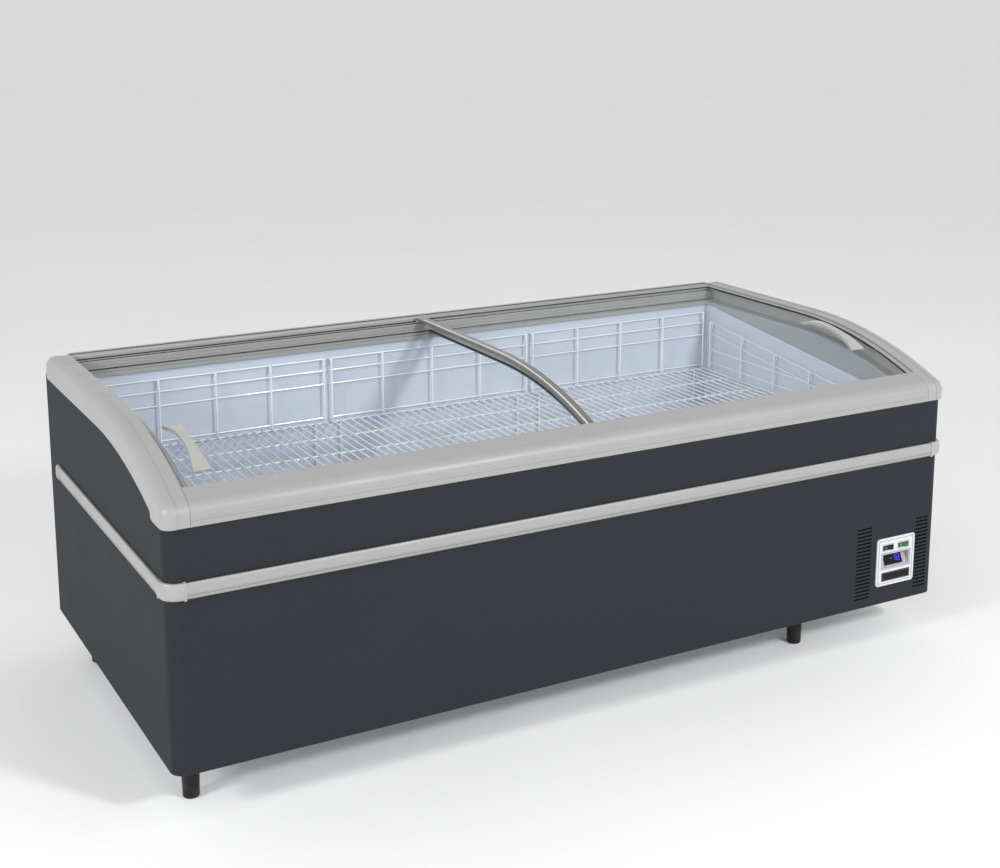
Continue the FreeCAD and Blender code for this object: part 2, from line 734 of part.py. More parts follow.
def hollow_region(skin):
    """Side outline of the space under an end cap's skin, open at the bottom."""
    front = S.front_y + 12.0
    back = S.back_y - 10.0
    start_y = -440.0
    pen = Pen(front, 655.0).line(start_y, curve_z(skin, start_y)).follow(skin, back - 24.0)
    pen.line(back, S.top_z - 40.0).line(back, S.base_z).line(front, S.base_z)
    return pen.close()


def make_end_fascias():
    """Grey inner cheeks, from the lids down to the sloping rim of the liner."""
    width = f"cap_inner_x - {GAP} - liner_x"
    y0 = S.liner_front_y - 4.0 + GAP
    y1 = S.liner_back_y - 12.0 - GAP
    depth = lid_depths(S.lower_offset)[1] + 2.0
    pen = Pen(y0, rim_z(y0) + 1.0 + GAP).line(y0, curve_z(depth, y0)).follow(depth, y1)
    pen.line(y1, rim_z(y1) + 1.0)
    edges = pen.close()
    for end, side in SIDES:
        name = f"end_fascia_{end}"
        keep(pad(name, "YZ_Plane", edges, x_start(side, "liner_x", width), width), name)


# ---------------------------------------------------------------------------
# Sliding lids
# ---------------------------------------------------------------------------
def make_handle(name, lid_offset, centre_x, centre_y):
    """Low bow handle, flared at both feet and narrow at its waist."""
    radius = S.curve_radius - lid_offset
    middle = math.asin(-centre_y / radius)
    half = S.handle_length / 2.0
    rise = S.handle_rise
    under = rise - S.handle_thick
    foot = 22.0
    seat = 0.1

    def over_glass(along, height):
        """Place on the side curve: a way along the glass, then a height above it."""
        angle = middle - along / radius
        reach = radius + height
        return -reach * math.sin(angle), S.top_z - S.curve_radius + reach * math.cos(angle)

    def bend(mid, end):
        bow.arc(*over_glass(*mid), *over_glass(*end))

    bow = Pen(*over_glass(-half, seat)).line(*over_glass(-half + 2.0, 6.0))
    bend((-half * 0.45, rise - 1.5), (0.0, rise))
    bend((half * 0.45, rise - 1.5), (half - 2.0, 6.0))
    bow.line(*over_glass(half, seat))
    bend((half - foot / 2.0, seat), (half - foot, seat))
    bend((half * 0.42, under - 1.5), (0.0, under))
    bend((-half * 0.42, under - 1.5), (-half + foot, seat))
    bend((-half + foot / 2.0, seat), (-half, seat))
    side_view = pad(name + "_bow", "YZ_Plane", bow.edges, f"{centre_x} - handle_width / 2", "handle_width")

    near = centre_y - half - 1.0
    far = centre_y + half + 1.0
    wide = S.handle_width / 2.0
    waist = S.handle_waist / 2.0
    plan = Pen(centre_x - wide, near).line(centre_x + wide, near).line(centre_x + wide, near + 12.0)
    plan.arc(centre_x + waist, centre_y, centre_x + wide, far - 12.0).line(centre_x + wide, far)
    plan.line(centre_x - wide, far).line(centre_x - wide, far - 12.0)
    plan.arc(centre_x - waist, centre_y, centre_x - wide, near + 12.0)
    top_view = pad(name + "_plan", "XY_Plane", plan.close(), "rim_front_z", 160)
    return keep(common(name, side_view, top_view), name)


def make_lid(end, side, offset, front_y, rear_y, handle_y):
    """One lid: curved pane, two side frames, front and rear runners, handle."""
    name = f"lid_{end}"
    wall = S.frame_wall
    slack = 0.15
    under = offset + S.glass_thick
    inner_end = "lid_end_x - lid_length"
    glass_inset = "frame_wall + 0.2"
    glass_length = f"lid_length - 2 * ({glass_inset})"
    rear_frame_y = rear_y - S.runner_w - GAP
    front_clip = front_y + GAP
    keep(pad(f"{name}_glass", "YZ_Plane", band(offset, under, front_y, rear_y),
             x_start(side, f"{inner_end} + {glass_inset}", glass_length), glass_length), f"{name}_glass")
    channel = band(offset - slack, under + slack, front_clip - 5.0, rear_frame_y + 5.0)
    shell = band(offset - wall, under + wall, front_clip, rear_frame_y)
    for place, width, low, slot_low in (
            ("outer", "frame_outer_w", "lid_end_x - frame_outer_w", f"lid_end_x - frame_outer_w - {wall}"),
            ("inner", "frame_inner_w", inner_end, f"{inner_end} + frame_wall")):
        frame_name = f"{name}_{place}_frame"
        strip = pad(f"{frame_name}_strip", "YZ_Plane", shell, x_start(side, low, width), width)
        slot = pad(f"{frame_name}_slot", "YZ_Plane", channel, x_start(side, slot_low, width), width)
        keep(cut(frame_name, strip, slot), frame_name)
    runner_low = f"{inner_end} + frame_inner_w + {GAP}"
    runner_length = f"lid_length - frame_inner_w - frame_outer_w - {2 * GAP}"
    front = band(under + slack, under + S.runner_depth, front_y, front_y + S.runner_w)
    keep(pad(f"{name}_front_runner", "YZ_Plane", front, x_start(side, runner_low, runner_length), runner_length),
         f"{name}_front_runner")
    rear_shell = band(offset - wall, under + S.runner_depth, rear_y - S.runner_w, rear_y + wall)
    rear = pad(f"{name}_rear_shell", "YZ_Plane", rear_shell, x_start(side, inner_end, "lid_length"), "lid_length")
    rear_channel = band(offset - slack, under + slack, rear_y - S.runner_w - 5.0, rear_y + 0.2)
    pocket(rear, "YZ_Plane", rear_channel, "lid_end_x + 100", "2 * lid_end_x + 400")
    keep(rear, f"{name}_rear_runner")
    make_handle(f"{name}_handle", offset, side * S.handle_x, handle_y)


def make_lids():
    make_lid("left", -1.0, S.lower_offset, LOWER_FRONT_Y, LOWER_REAR_Y, -248.0)
    make_lid("right", 1.0, S.upper_offset, UPPER_FRONT_Y, UPPER_REAR_Y, -200.0)


# ---------------------------------------------------------------------------
# Bumper rail
# ---------------------------------------------------------------------------
def bumper_outline(depth, low_z, high_z, wall_u, outward):
    """D-shaped section: flat on the cabinet, softly crowned outside."""
    edge = 4.0
    face = wall_u + outward * (depth - 1.5)
    crown = wall_u + outward * depth
    middle = (low_z + high_z) / 2.0
    pen = Pen(wall_u, low_z).line(wall_u + outward * (depth - edge), low_z)
    pen.line(face, low_z + edge).arc(crown, middle, face, high_z - edge)
    return pen.line(wall_u + outward * (depth - edge), high_z).line(wall_u, high_z).close()


def make_bumpers():
    low = S.bumper_bottom_z
    high = low + S.bumper_height
    inset = 1.0
    leg = 10.0
    run_depth = S.bumper_proud - 0.8
    turn_x = S.half_length - S.corner_radius
    turn_y = S.front_y + S.corner_radius
    wall = 0.2
    section = bumper_outline(run_depth - wall, low + inset, high - inset, S.front_y - wall, -1.0)
    keep(pad("bumper_front", "YZ_Plane", section, f"-(half_length - corner_radius - {leg}) + {GAP}",
             f"2 * (half_length - corner_radius - {leg}) - {2 * GAP}"), "bumper_front")
    end_cap = 18.0
    plugs = []
    for end, side in SIDES:
        wall_x = side * (S.half_length + wall)
        section = bumper_outline(run_depth - wall, low + inset, high - inset, wall_x, side)
        name = f"bumper_{end}"
        # an XZ pad grows to -Y, so it starts at its far end
        keep(pad(name, "XZ_Plane", section, f"-(bumper_end_y - {end_cap + GAP})",
                 f"bumper_end_y - {end_cap + 2 * GAP} - ({turn_y + leg})"), name)
        section = bumper_outline(S.bumper_proud - wall, low, high, wall_x, side)
        plugs.append(pad("bumper_plug", "XZ_Plane", section, "-bumper_end_y", end_cap))

        centre = Vector(side * turn_x, turn_y, 0)
        face = Part.Face(Part.Wire([edge.toShape() for edge in section]))
        face.rotate(Vector(0, 0, 0), Vector(1, 0, 0), 90.0)
        face.translate(Vector(0, turn_y, 0))
        straight_back = face.extrude(Vector(0, leg, 0))
        quarter = face.revolve(centre, Vector(0, 0, 1), -90.0 * side)
        end_face = face.copy()
        end_face.rotate(centre, Vector(0, 0, 1), -90.0 * side)
        straight_front = end_face.extrude(Vector(-side * leg, 0, 0))
        tabs = []
        for tab_z in (low - 1.6, high - 3.0):
            depth = S.bumper_proud - wall - 2.0
            back_x = min(side * (S.half_length + wall), side * (S.half_length + wall + depth))
            tabs.append(Part.makeBox(depth, 6.0, 4.6, Vector(back_x, turn_y + leg - 6.0, tab_z)))
            front_x = min(side * (turn_x - leg), side * (turn_x - leg + 6.0))
            tabs.append(Part.makeBox(6.0, depth, 4.6, Vector(front_x, S.front_y - wall - depth, tab_z)))
        corner = quarter.multiFuse([straight_back, straight_front, *tabs]).removeSplitter()
        keep(feature(f"bumper_corner_{end}", corner), f"bumper_corner_{end}")
    keep(group("bumper_end_caps", plugs), "bumper_end_caps")


# ---------------------------------------------------------------------------
# Wire guards and floor grids
# ---------------------------------------------------------------------------
def lattice(name, role, u_bars, rows, bar, start):
    """Flat welded grid: its windows are what lies between the bars.

    A row is a height, or a pair of heights for a row that slopes from the first bar to the last.
    """
    half = bar / 2.0
    ends = [row if isinstance(row, tuple) else (row, row) for row in rows]

    def height(row, u):
        low, high = row
        return low + (high - low) * (u - u_bars[0]) / (u_bars[-1] - u_bars[0])

    def panel(u0, u1, below, above, grow):
        pen = Pen(u0, height(below, u0) - grow).line(u1, height(below, u1) - grow)
        return pen.line(u1, height(above, u1) + grow).line(u0, height(above, u0) + grow).close()

    edges = panel(u_bars[0] - half, u_bars[-1] + half, ends[0], ends[-1], half)
    for u0, u1 in zip(u_bars, u_bars[1:]):
        for below, above in zip(ends, ends[1:]):
            edges += panel(u0 + half, u1 - half, below, above, -half)
    return pad(name, role, edges, start, "wire_thick")


def spread(low, high, count):
    """Evenly spaced places from low to high."""
    return [low + (high - low) * i / (count - 1) for i in range(count)]


PANEL_W = 606.0
PANEL_XS = (-628.0, 0.0, 628.0)
GUARD_OUT = 12.0     # guards stand this far off the liner wall


def make_guards():
    low = S.grid_z + 8.0
    back_rows = [low, S.guard_top_z - 70.0, S.guard_top_z - 32.0, S.guard_top_z]
    front_rows = [low, low + 40.0, low + 80.0]
    backs = []
    fronts = []
    for middle in PANEL_XS:
        bars = spread(middle - PANEL_W / 2.0, middle + PANEL_W / 2.0, 5)
        backs.append(lattice("guard", "XZ_Plane", bars, back_rows, S.wire_thick, f"-liner_back_y + {GUARD_OUT}"))
        fronts.append(lattice("guard", "XZ_Plane", bars, front_rows, S.wire_thick,
                              f"-liner_front_y - {GUARD_OUT} - wire_thick"))
    keep(group("guards_back", backs), "guards_back")
    keep(group("guards_front", fronts), "guards_front")
    bars = spread(-395.0, 386.0, 6)
    tops = (rim_z(bars[0]) - 45.0, rim_z(bars[-1]) - 45.0)
    rows = [low, (low + 15.0, low + 53.0), tops]
    for end, side in SIDES:
        name = f"guard_{end}"
        keep(lattice(name, "YZ_Plane", bars, rows, S.wire_thick,
                     x_start(side, f"liner_x - {GUARD_OUT} - wire_thick", "wire_thick")), name)


def make_floor_grids():
    """Raised wire floor in three panels, each on four wire legs."""
    pieces = []
    rows = spread(-412.0, 422.0, 4)
    for middle in PANEL_XS:
        bars = spread(middle - PANEL_W / 2.0, middle + PANEL_W / 2.0, 25)
        pieces.append(lattice("grid", "XY_Plane", bars, rows, S.wire_thick, "grid_z - wire_thick"))
        for leg_x in (bars[1], bars[-2]):
            floor = "liner_step_z" if leg_x > S.liner_step_x else "liner_floor_z"
            for leg_y in (rows[0], rows[-1]):
                pieces.append(block("grid_leg", (leg_x - 3.0, leg_x + 3.0), (leg_y - 3.0, leg_y + 3.0),
                                    (f"{floor} + 0.1", "grid_z - wire_thick - 0.1")))
    keep(group("floor_grids", pieces), "floor_grids")


# ---------------------------------------------------------------------------
# Control panel
# ---------------------------------------------------------------------------
SWITCH_Z = 97.5          # heights and widths on the plate, from its lower left corner
SWITCH_H = 12.0
SWITCH_W = 33.0
SWITCHES = (("power", 36.5), ("light", 88.5))
WINDOW = (17.0, 46.0, 113.0, 88.0)       # display recess: left, bottom, right, top


def make_control_plate():
    x = S.plate_x
    z = S.plate_z
    start = "-front_y + 0.2"
    plate = pad("control_plate", "XZ_Plane", rounded(x, z, x + S.plate_w, z + S.plate_h, 8.0), start, "plate_thick")
    reach = "plate_thick + 10"
    face = "-front_y + plate_thick + 5"
    for _, centre in SWITCHES:
        hole = rectangle(x + centre - SWITCH_W / 2.0 - 0.8, z + SWITCH_Z, x + centre + SWITCH_W / 2.0 + 0.8,
                         z + SWITCH_Z + SWITCH_H + 1.0)
        pocket(plate, "XZ_Plane", hole, face, reach)
    left, bottom, right, top = WINDOW
    pocket(plate, "XZ_Plane", rectangle(x + left, z + bottom, x + right, z + top), face, reach)
    for screw_x, screw_z in plate_screw_places():
        pocket(plate, "XZ_Plane", circle(screw_x, screw_z, 1.9), face, reach)
    keep(plate, "control_plate")

    profile = [(0.0, -9.0), (1.7, -9.0), (1.7, 0.0), (3.4, 0.0), (2.6, 1.6), (0.0, 2.0)]
    face_y = S.front_y - 0.2 - S.plate_thick - 0.1
    screws = [revolve("screw", profile, (screw_x, face_y, screw_z), Vector(0, -1, 0))
              for screw_x, screw_z in plate_screw_places()]
    keep(group("plate_screws", screws), "plate_screws")

    label_y = "-front_y + 0.2 + plate_thick"
    label = pad("label_plate", "XZ_Plane", rounded(x + 18.0, z + 12.0, x + 114.0, z + 36.0, 1.5), label_y, 0.8)
    keep(label, "label_plate")


def make_display():
    """Recessed housing whose floor leans back, and the dark display on it."""
    x = S.plate_x
    z = S.plate_z
    left, bottom, right, top = WINDOW
    face_y = S.front_y - 0.2 - S.plate_thick
    deep_y = S.front_y + 26.0
    shell = pad("display_shell", "XZ_Plane",
                rectangle(x + left + 0.3, z + bottom + 0.3, x + right - 0.3, z + top - 0.3),
                f"{-deep_y}", f"{deep_y - face_y}")
    lean_low = Vector(0, face_y + 3.0, z + bottom + 3.0)
    lean_high = Vector(0, face_y + 20.0, z + top - 3.0)
    recess = Pen(face_y - 5.0, lean_low.z).line(lean_low.y, lean_low.z).line(lean_high.y, lean_high.z)
    recess.line(face_y - 5.0, lean_high.z)
    pocket(shell, "YZ_Plane", recess.close(), f"{x + right - 4.0}", f"{right - left - 8.0}")
    case = block("controller_case", (f"plate_x + {left + 14}", f"plate_x + {right - 14}"),
                 (f"{deep_y - 1.0}", f"{deep_y + 24.0}"), (f"plate_z + {bottom + 4}", f"plate_z + {top - 4}"))
    keep(join("display_housing", shell, case), "display_housing")

    direction = (lean_high - lean_low).normalize()
    normal = Vector(0, -direction.z, direction.y)
    low = lean_low + direction * 4.0 + normal * 0.2
    high = lean_high - direction * 4.0 + normal * 0.2
    pane = Pen(low.y, low.z).line(high.y, high.z).line((high + normal * 2.0).y, (high + normal * 2.0).z)
    pane.line((low + normal * 2.0).y, (low + normal * 2.0).z)
    keep(pad("display_window", "YZ_Plane", pane.close(), f"{x + 32.0}", 60), "display_window")


ROCKER_TILT = 7.0


def make_switches():
    """Rockers that turn about an upright axis through their middle."""
    for label, centre in SWITCHES:
        name = f"switch_{label}"
        half = SWITCH_W / 2.0 - 0.6
        depth = 5.0
        pen = Pen(-half, -depth).line(0.0, -depth + 1.2).line(half, -depth).line(half, 1.0)
        pen.line(half * 0.45, 7.0).line(-half * 0.45, 7.0).line(-half, 1.0)
        rocker = pad(name, "XY_Plane", pen.close(), 0, SWITCH_H - 0.2)
        at = Vector(S.plate_x + centre, S.front_y - 0.2, S.plate_z + SWITCH_Z + 0.6)
        rocker.Placement = Placement(at, Rotation(Vector(0, 0, 1), -ROCKER_TILT))
        keep(rocker, name)


# ---------------------------------------------------------------------------
# Machine room
# ---------------------------------------------------------------------------
ROOM_FLOOR = 3.3         # machinery stands this far above the cabinet's underside


def make_condenser():
    """Finned block just behind the front vents."""
    x0 = 735.0
    x1 = 985.0
    y0 = -440.0
    z0 = 130.0
    runs = 8
    run_pitch = 28.0
    tube_r = 4.5
    bend = run_pitch / 2.0
    centre_y = y0 + 22.0
    points = [(x0 - 30.0, centre_y, z0 + 16.0)]
    for run in range(runs):
        z = z0 + 16.0 + run * run_pitch
        ends = (x0 - 18.0, x1 + 18.0)
        if run % 2 == 0:
            ends = ends[::-1]
        if run:
            points.append((ends[1], centre_y, z))
        if run < runs - 1:
            points.append((ends[0], centre_y, z))
    points.append((x0 - 30.0, centre_y, z0 + 16.0 + (runs - 1) * run_pitch))
    tube = pipe("condenser_tube", points, bend - 0.01, tube_r)
    keep(tube, "condenser_tube")
    holes = [rod("hole", (x0 - 5.0, centre_y, z0 + 16.0 + run * run_pitch), (1, 0, 0), x1 - x0 + 10.0, tube_r + 0.1)
             for run in range(runs)]
    bored = join("fin_holes", *holes)
    plate = block("fin", (0, 0.8), (y0, y0 + 44.0), (z0, z0 + 228.0))
    fins = []
    doc.recompute()
    for fin_x in spread(x0, x1 - 0.8, 26):
        fin = plate.Shape.copy()
        fin.translate(Vector(fin_x, 0, 0))
        fins.append(fin.cut(bored.Shape))
    keep(feature("condenser_fins", Part.makeCompound(fins)), "condenser_fins")


def make_fan():
    """Axial fan that draws air through the condenser."""
    x = S.fan_x
    y = S.fan_y
    z = S.fan_z
    ring_y = y - 22.0
    radius = S.fan_radius
    plate = pad("fan_plate", "XZ_Plane",
                rounded(x - 125.0, z - 118.0, x + 125.0, z + 118.0, 4.0) + circle(x, z, radius + 6.0),
                f"{-(ring_y + 2.0)}", 2)
    collar = pad("fan_collar", "XZ_Plane", circle(x, z, radius + 8.0) + circle(x, z, radius + 6.0),
                 f"{-(ring_y + 38.0)}", 37)
    edge = radius + 14.0
    arm = block("fan_arm", (x - edge, x + edge), (y + 62.0, y + 65.0), (z - 6.0, z + 6.0))
    legs = [block("fan_leg", (x + low, x + low + 6.0), (ring_y + 1.0, y + 65.0), (z - 6.0, z + 6.0))
            for low in (-edge, edge - 6.0)]
    keep(join("fan_shroud", plate, collar, arm, *legs), "fan_shroud")

    profile = [(0.0, 0.0), (38.0, 0.0), (40.0, 3.0), (40.0, 40.0), (30.0, 46.0), (4.0, 46.0), (4.0, 62.0), (0.0, 62.0)]
    keep(revolve("fan_motor", profile, (x, y + 62.0 - GAP, z), Vector(0, -1, 0)), "fan_motor")

    hub = rod("fan_hub", (x, y + 11.0, z), (0, -1, 0), 22, 24)
    bore = rod("fan_bore", (x, y + 20.0, z), (0, -1, 0), 26.0, 4.05)
    blades = []
    for number in range(5):
        paddle = doc.addObject("Part::Box", "fan_paddle")
        bind(paddle, "Length", "fan_radius - 4 - 18")
        bind(paddle, "Width", 1.6)
        bind(paddle, "Height", 62)
        spin = Rotation(Vector(0, 1, 0), number * 72.0)
        pitch = Rotation(Vector(1, 0, 0), 28.0)
        local = Placement(Vector(18.0, -0.8, -31.0), Rotation())
        paddle.Placement = Placement(Vector(x, y, z), spin.multiply(pitch)).multiply(local)
        blades.append(paddle)
    wheel = join("fan_wheel", hub, *blades)
    sweep = rod("fan_sweep", (x, y + 30.0, z), (0, -1, 0), 60, "fan_radius")
    keep(cut("fan_blade", common("fan_trim", wheel, sweep), bore), "fan_blade")


def make_compressor():
    """Hermetic compressor on rubber mounts."""
    x = 850.0
    y = 60.0
    floor = S.base_z + ROOM_FLOOR
    feet_z = floor + 16.0
    can = revolve("compressor_can", [(0.0, 8.0), (60.0, 8.0), (76.0, 22.0), (80.0, 40.0), (80.0, 78.0), (84.0, 80.0),
                                     (84.0, 86.0), (80.0, 88.0), (78.0, 130.0), (64.0, 160.0), (36.0, 174.0),
                                     (0.0, 178.0)], (x, y, feet_z))
    plate = pad("compressor_plate", "XY_Plane",
                rounded(x - 100.0, y - 60.0, x + 100.0, y + 60.0, 12.0)
                + [c for sx in (-86.0, 86.0) for sy in (-46.0, 46.0) for c in circle(x + sx, y + sy, 7.0)],
                f"{feet_z}", 3)
    neck = block("compressor_neck", (x - 50.0, x + 50.0), (y - 40.0, y + 40.0), (feet_z + 1.0, feet_z + 12.0))
    cover = block("compressor_relay", (x + 70.0, x + 104.0), (y - 26.0, y + 26.0), (feet_z + 66.0, feet_z + 122.0))
    keep(join("compressor", can, plate, neck, cover), "compressor")
    profile = [(0.0, 0.0), (12.0, 0.0), (12.0, 15.0), (6.8, 15.4), (6.8, 20.0), (10.0, 20.4), (8.0, 26.0), (0.0, 26.0)]
    mounts = [revolve("mount", profile, (x + sx, y + sy, floor)) for sx in (-86.0, 86.0) for sy in (-46.0, 46.0)]
    keep(group("compressor_mounts", mounts), "compressor_mounts")

    stub_z = feet_z + 110.0
    shell_r = 80.3
    discharge = [(x, y - shell_r, stub_z), (x, y - 130.0, stub_z), (699.0, y - 130.0, stub_z), (699.0, -418.0, stub_z)]
    suction = [(x, y + shell_r, stub_z), (x, y + 150.0, stub_z), (957.5, y + 150.0, stub_z), (957.5, 320.0, stub_z),
               (957.5, 320.0, S.room_top_z - 7.0)]
    drier = [(0.0, 0.0), (3.4, 0.0), (3.4, 8.0), (9.0, 16.0), (9.0, 76.0), (3.4, 84.0), (3.4, 92.0), (0.0, 92.0)]
    pipes = [pipe("discharge_pipe", discharge, 12.0, 3.2), pipe("suction_pipe", suction, 12.0, 4.0),
             revolve("filter_drier", drier, (722.0, -270.0, 250.0))]
    keep(group("refrigerant_pipes", pipes), "refrigerant_pipes")


def make_small_machinery():
    floor = f"base_z + {ROOM_FLOOR}"
    pan = block("pan_outer", (722, 1000), (240, 470), (floor, "base_z + 52"))
    hollow = block("pan_hollow", (724, 998), (242, 468), (f"{floor} + 2", "base_z + 60"))
    keep(cut("evaporation_tray", pan, hollow), "evaporation_tray")

    box = block("electrical_case", (700, 840), (-250, -180), ("base_z + 4", "base_z + 96"))
    hollow = block("electrical_hollow", (703, 837), (-247, -183), ("base_z + 7", "base_z + 93"))
    keep(cut("electrical_box", box, hollow), "electrical_box")

    profile = [(0.0, -30.0), (9.0, -30.0), (11.0, -8.0), (16.0, -6.0), (16.0, -2.0), (11.0, -2.0), (11.0, 0.0),
               (6.0, 0.0), (6.0, -4.0), (0.0, -4.0)]
    keep(revolve("mains_gland", profile, (GLAND_X, S.back_y, GLAND_Z), Vector(0, 1, 0)), "mains_gland")


# ---------------------------------------------------------------------------
# Build, check and write
# ---------------------------------------------------------------------------
def check_and_write():
    doc.recompute()
    for obj in doc.Objects:
        bad = [word for word in obj.State if word in ("Invalid", "Error")]
        if bad:
            raise RuntimeError(f"{obj.Label} ({obj.Name}) is {bad}")
    for name, obj in SUBPARTS.items():
        shape = obj.Shape
        if shape.isNull() or not shape.isValid() or not shape.Solids or shape.Volume <= 0.0:
            raise RuntimeError(f"{name} has no valid solid")
    os.makedirs("parts", exist_ok=True)
    for name, obj in SUBPARTS.items():
        obj.Shape.exportStep(f"parts/{name}.step")
    print(len(SUBPARTS), "sub-parts written")


make_casing()
make_back()
make_base()
make_feet()
make_liner()
make_foam()
make_evaporator()
make_front_profile()
make_back_profile()
make_end_caps()
make_end_fascias()
make_lids()
make_bumpers()
make_guards()
make_floor_grids()
make_control_plate()
make_display()
make_switches()
make_condenser()
make_fan()
make_compressor()
make_small_machinery()
check_and_write()
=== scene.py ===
"""Visual model of the island chest freezer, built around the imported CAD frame.

Units are metres in the frame of the record: +X along the length, the front
faces -Y, +Z up.
"""
import json
import math

import bmesh
import bpy
from mathutils import Matrix, Vector


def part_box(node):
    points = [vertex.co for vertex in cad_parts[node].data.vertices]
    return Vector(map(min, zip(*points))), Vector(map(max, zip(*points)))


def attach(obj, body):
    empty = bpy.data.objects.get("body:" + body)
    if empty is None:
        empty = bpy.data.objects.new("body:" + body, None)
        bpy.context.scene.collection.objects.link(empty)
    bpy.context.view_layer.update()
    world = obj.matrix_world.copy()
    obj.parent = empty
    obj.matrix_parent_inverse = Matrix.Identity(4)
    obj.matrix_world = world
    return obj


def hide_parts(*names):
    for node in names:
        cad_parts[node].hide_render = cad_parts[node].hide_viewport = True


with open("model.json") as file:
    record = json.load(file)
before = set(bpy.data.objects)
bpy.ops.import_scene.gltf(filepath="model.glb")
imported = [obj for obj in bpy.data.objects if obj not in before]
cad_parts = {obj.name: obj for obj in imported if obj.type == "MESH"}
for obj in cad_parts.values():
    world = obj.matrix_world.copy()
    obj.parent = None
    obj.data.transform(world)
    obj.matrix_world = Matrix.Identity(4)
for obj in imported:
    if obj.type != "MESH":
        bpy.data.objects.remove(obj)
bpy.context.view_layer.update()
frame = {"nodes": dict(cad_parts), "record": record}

SCENE = bpy.context.scene
NODES = frame["nodes"]


# ---------------------------------------------------------------------------
# Materials
# ---------------------------------------------------------------------------
class Paint:
    """A material's node tree with one Principled shader, and helpers to add to it."""

    def __init__(self, name, rough, metallic=0.0, coat=0.0, specular=0.5):
        self.mat = bpy.data.materials.new(name)
        self.mat.use_nodes = True
        self.tree = self.mat.node_tree
        self.tree.nodes.clear()
        self.out = self.add("ShaderNodeOutputMaterial")
        self.shader = self.add("ShaderNodeBsdfPrincipled")
        self.link(self.shader.outputs[0], self.out.inputs["Surface"])
        self.set("Roughness", rough)
        self.set("Metallic", metallic)
        self.set("Coat Weight", coat)
        self.set("Specular IOR Level", specular)
        self.where = self.add("ShaderNodeTexCoord").outputs["Object"]
        self.height = None

    def add(self, kind, **props):
        node = self.tree.nodes.new(kind)
        for key, value in props.items():
            setattr(node, key, value)
        return node

    def link(self, a, b):
        self.tree.links.new(a, b)

    def set(self, socket, value):
        self.shader.inputs[socket].default_value = value

    def stretched(self, scale):
        """Coordinates stretched by a scale on each axis."""
        mapping = self.add("ShaderNodeMapping")
        mapping.inputs["Scale"].default_value = scale
        self.link(self.where, mapping.inputs["Vector"])
        return mapping.outputs[0]

    def noise(self, scale, detail=3.0, rough=0.55, where=None, seed=0.0):
        """Cloudy value about 0.5, finer with a larger scale."""
        node = self.add("ShaderNodeTexNoise", noise_dimensions="4D")
        node.inputs["Scale"].default_value = scale
        node.inputs["Detail"].default_value = detail
        node.inputs["Roughness"].default_value = rough
        node.inputs["W"].default_value = seed
        self.link(where or self.where, node.inputs["Vector"])
        return node.outputs["Fac"]

    def ramp(self, value, low, high, start=0.0, end=1.0):
        """Map low..high of a value to start..end, clamped."""
        node = self.add("ShaderNodeMapRange")
        for socket, number in zip(("From Min", "From Max", "To Min", "To Max"), (low, high, start, end)):
            node.inputs[socket].default_value = number
        self.link(value, node.inputs["Value"])
        return node.outputs[0]

    def math(self, operation, a, b):
        """Sum, product or the like of two values, each a socket or a number."""
        node = self.add("ShaderNodeMath", operation=operation)
        for socket, value in zip(node.inputs, (a, b)):
            if isinstance(value, (int, float)):
                socket.default_value = value
            else:
                self.link(value, socket)
        return node.outputs[0]

    def blend(self, factor, a, b):
        """Mix two colours, each a socket or a triple."""
        node = self.add("ShaderNodeMix", data_type="RGBA")
        self.link(factor, node.inputs["Factor"])
        for socket, value in zip((node.inputs["A"], node.inputs["B"]), (a, b)):
            if isinstance(value, (tuple, list)):
                socket.default_value = (*value[:3], 1.0)
            else:
                self.link(value, socket)
        return node.outputs["Result"]

    def edges(self, radius):
        """Near 1 on edges and 0 on flat faces."""
        bevel = self.add("ShaderNodeBevel", samples=4)
        bevel.inputs["Radius"].default_value = radius
        flat = self.add("ShaderNodeNewGeometry").outputs["Normal"]
        dot = self.add("ShaderNodeVectorMath", operation="DOT_PRODUCT")
        self.link(bevel.outputs[0], dot.inputs[0])
        self.link(flat, dot.inputs[1])
        return self.ramp(dot.outputs["Value"], 0.995, 0.80)

    def colour(self, value):
        self.link(value, self.shader.inputs["Base Color"])

    def roughness(self, value):
        self.link(value, self.shader.inputs["Roughness"])

    def bump(self, value, distance, strength):
        """Add relief of this height in metres on top of any before it."""
        node = self.add("ShaderNodeBump")
        node.inputs["Strength"].default_value = strength
        node.inputs["Distance"].default_value = distance
        self.link(value, node.inputs["Height"])
        if self.height is not None:
            self.link(self.height, node.inputs["Normal"])
        self.height = node.outputs[0]
        self.link(self.height, self.shader.inputs["Normal"])


def shade(rgb, factor):
    """A lighter or darker shade of a colour."""
    return tuple(c * factor for c in rgb)


def painted_steel(name, rgb, rough=0.55):
    """Powder-coated sheet: fine orange peel, faint dust and brighter edges."""
    p = Paint(name, rough, specular=0.06)
    cloud = p.ramp(p.noise(3.1, 4.0), 0.3, 0.7)
    tone = p.blend(cloud, shade(rgb, 0.97), shade(rgb, 1.03))
    speck = p.ramp(p.noise(1500.0, 1.0), 0.62, 0.78, 0.0, 0.2)
    tone = p.blend(speck, tone, shade(rgb, 1.4))
    wear = p.math("MULTIPLY", p.edges(0.0012), p.ramp(p.noise(60.0), 0.4, 0.65, 0.1, 0.6))
    tone = p.blend(wear, tone, shade(rgb, 2.4))
    p.colour(tone)
    p.roughness(p.math("ADD", p.ramp(p.noise(9.0, 5.0), 0.3, 0.7, rough - 0.015, rough + 0.025),
                       p.ramp(p.noise(420.0, 2.0), 0.3, 0.7, -0.03, 0.03)))
    p.bump(p.noise(620.0, 2.0), 0.00005, 0.5)
    p.bump(p.noise(2.2, 1.0), 0.0006, 0.15)
    return p.mat


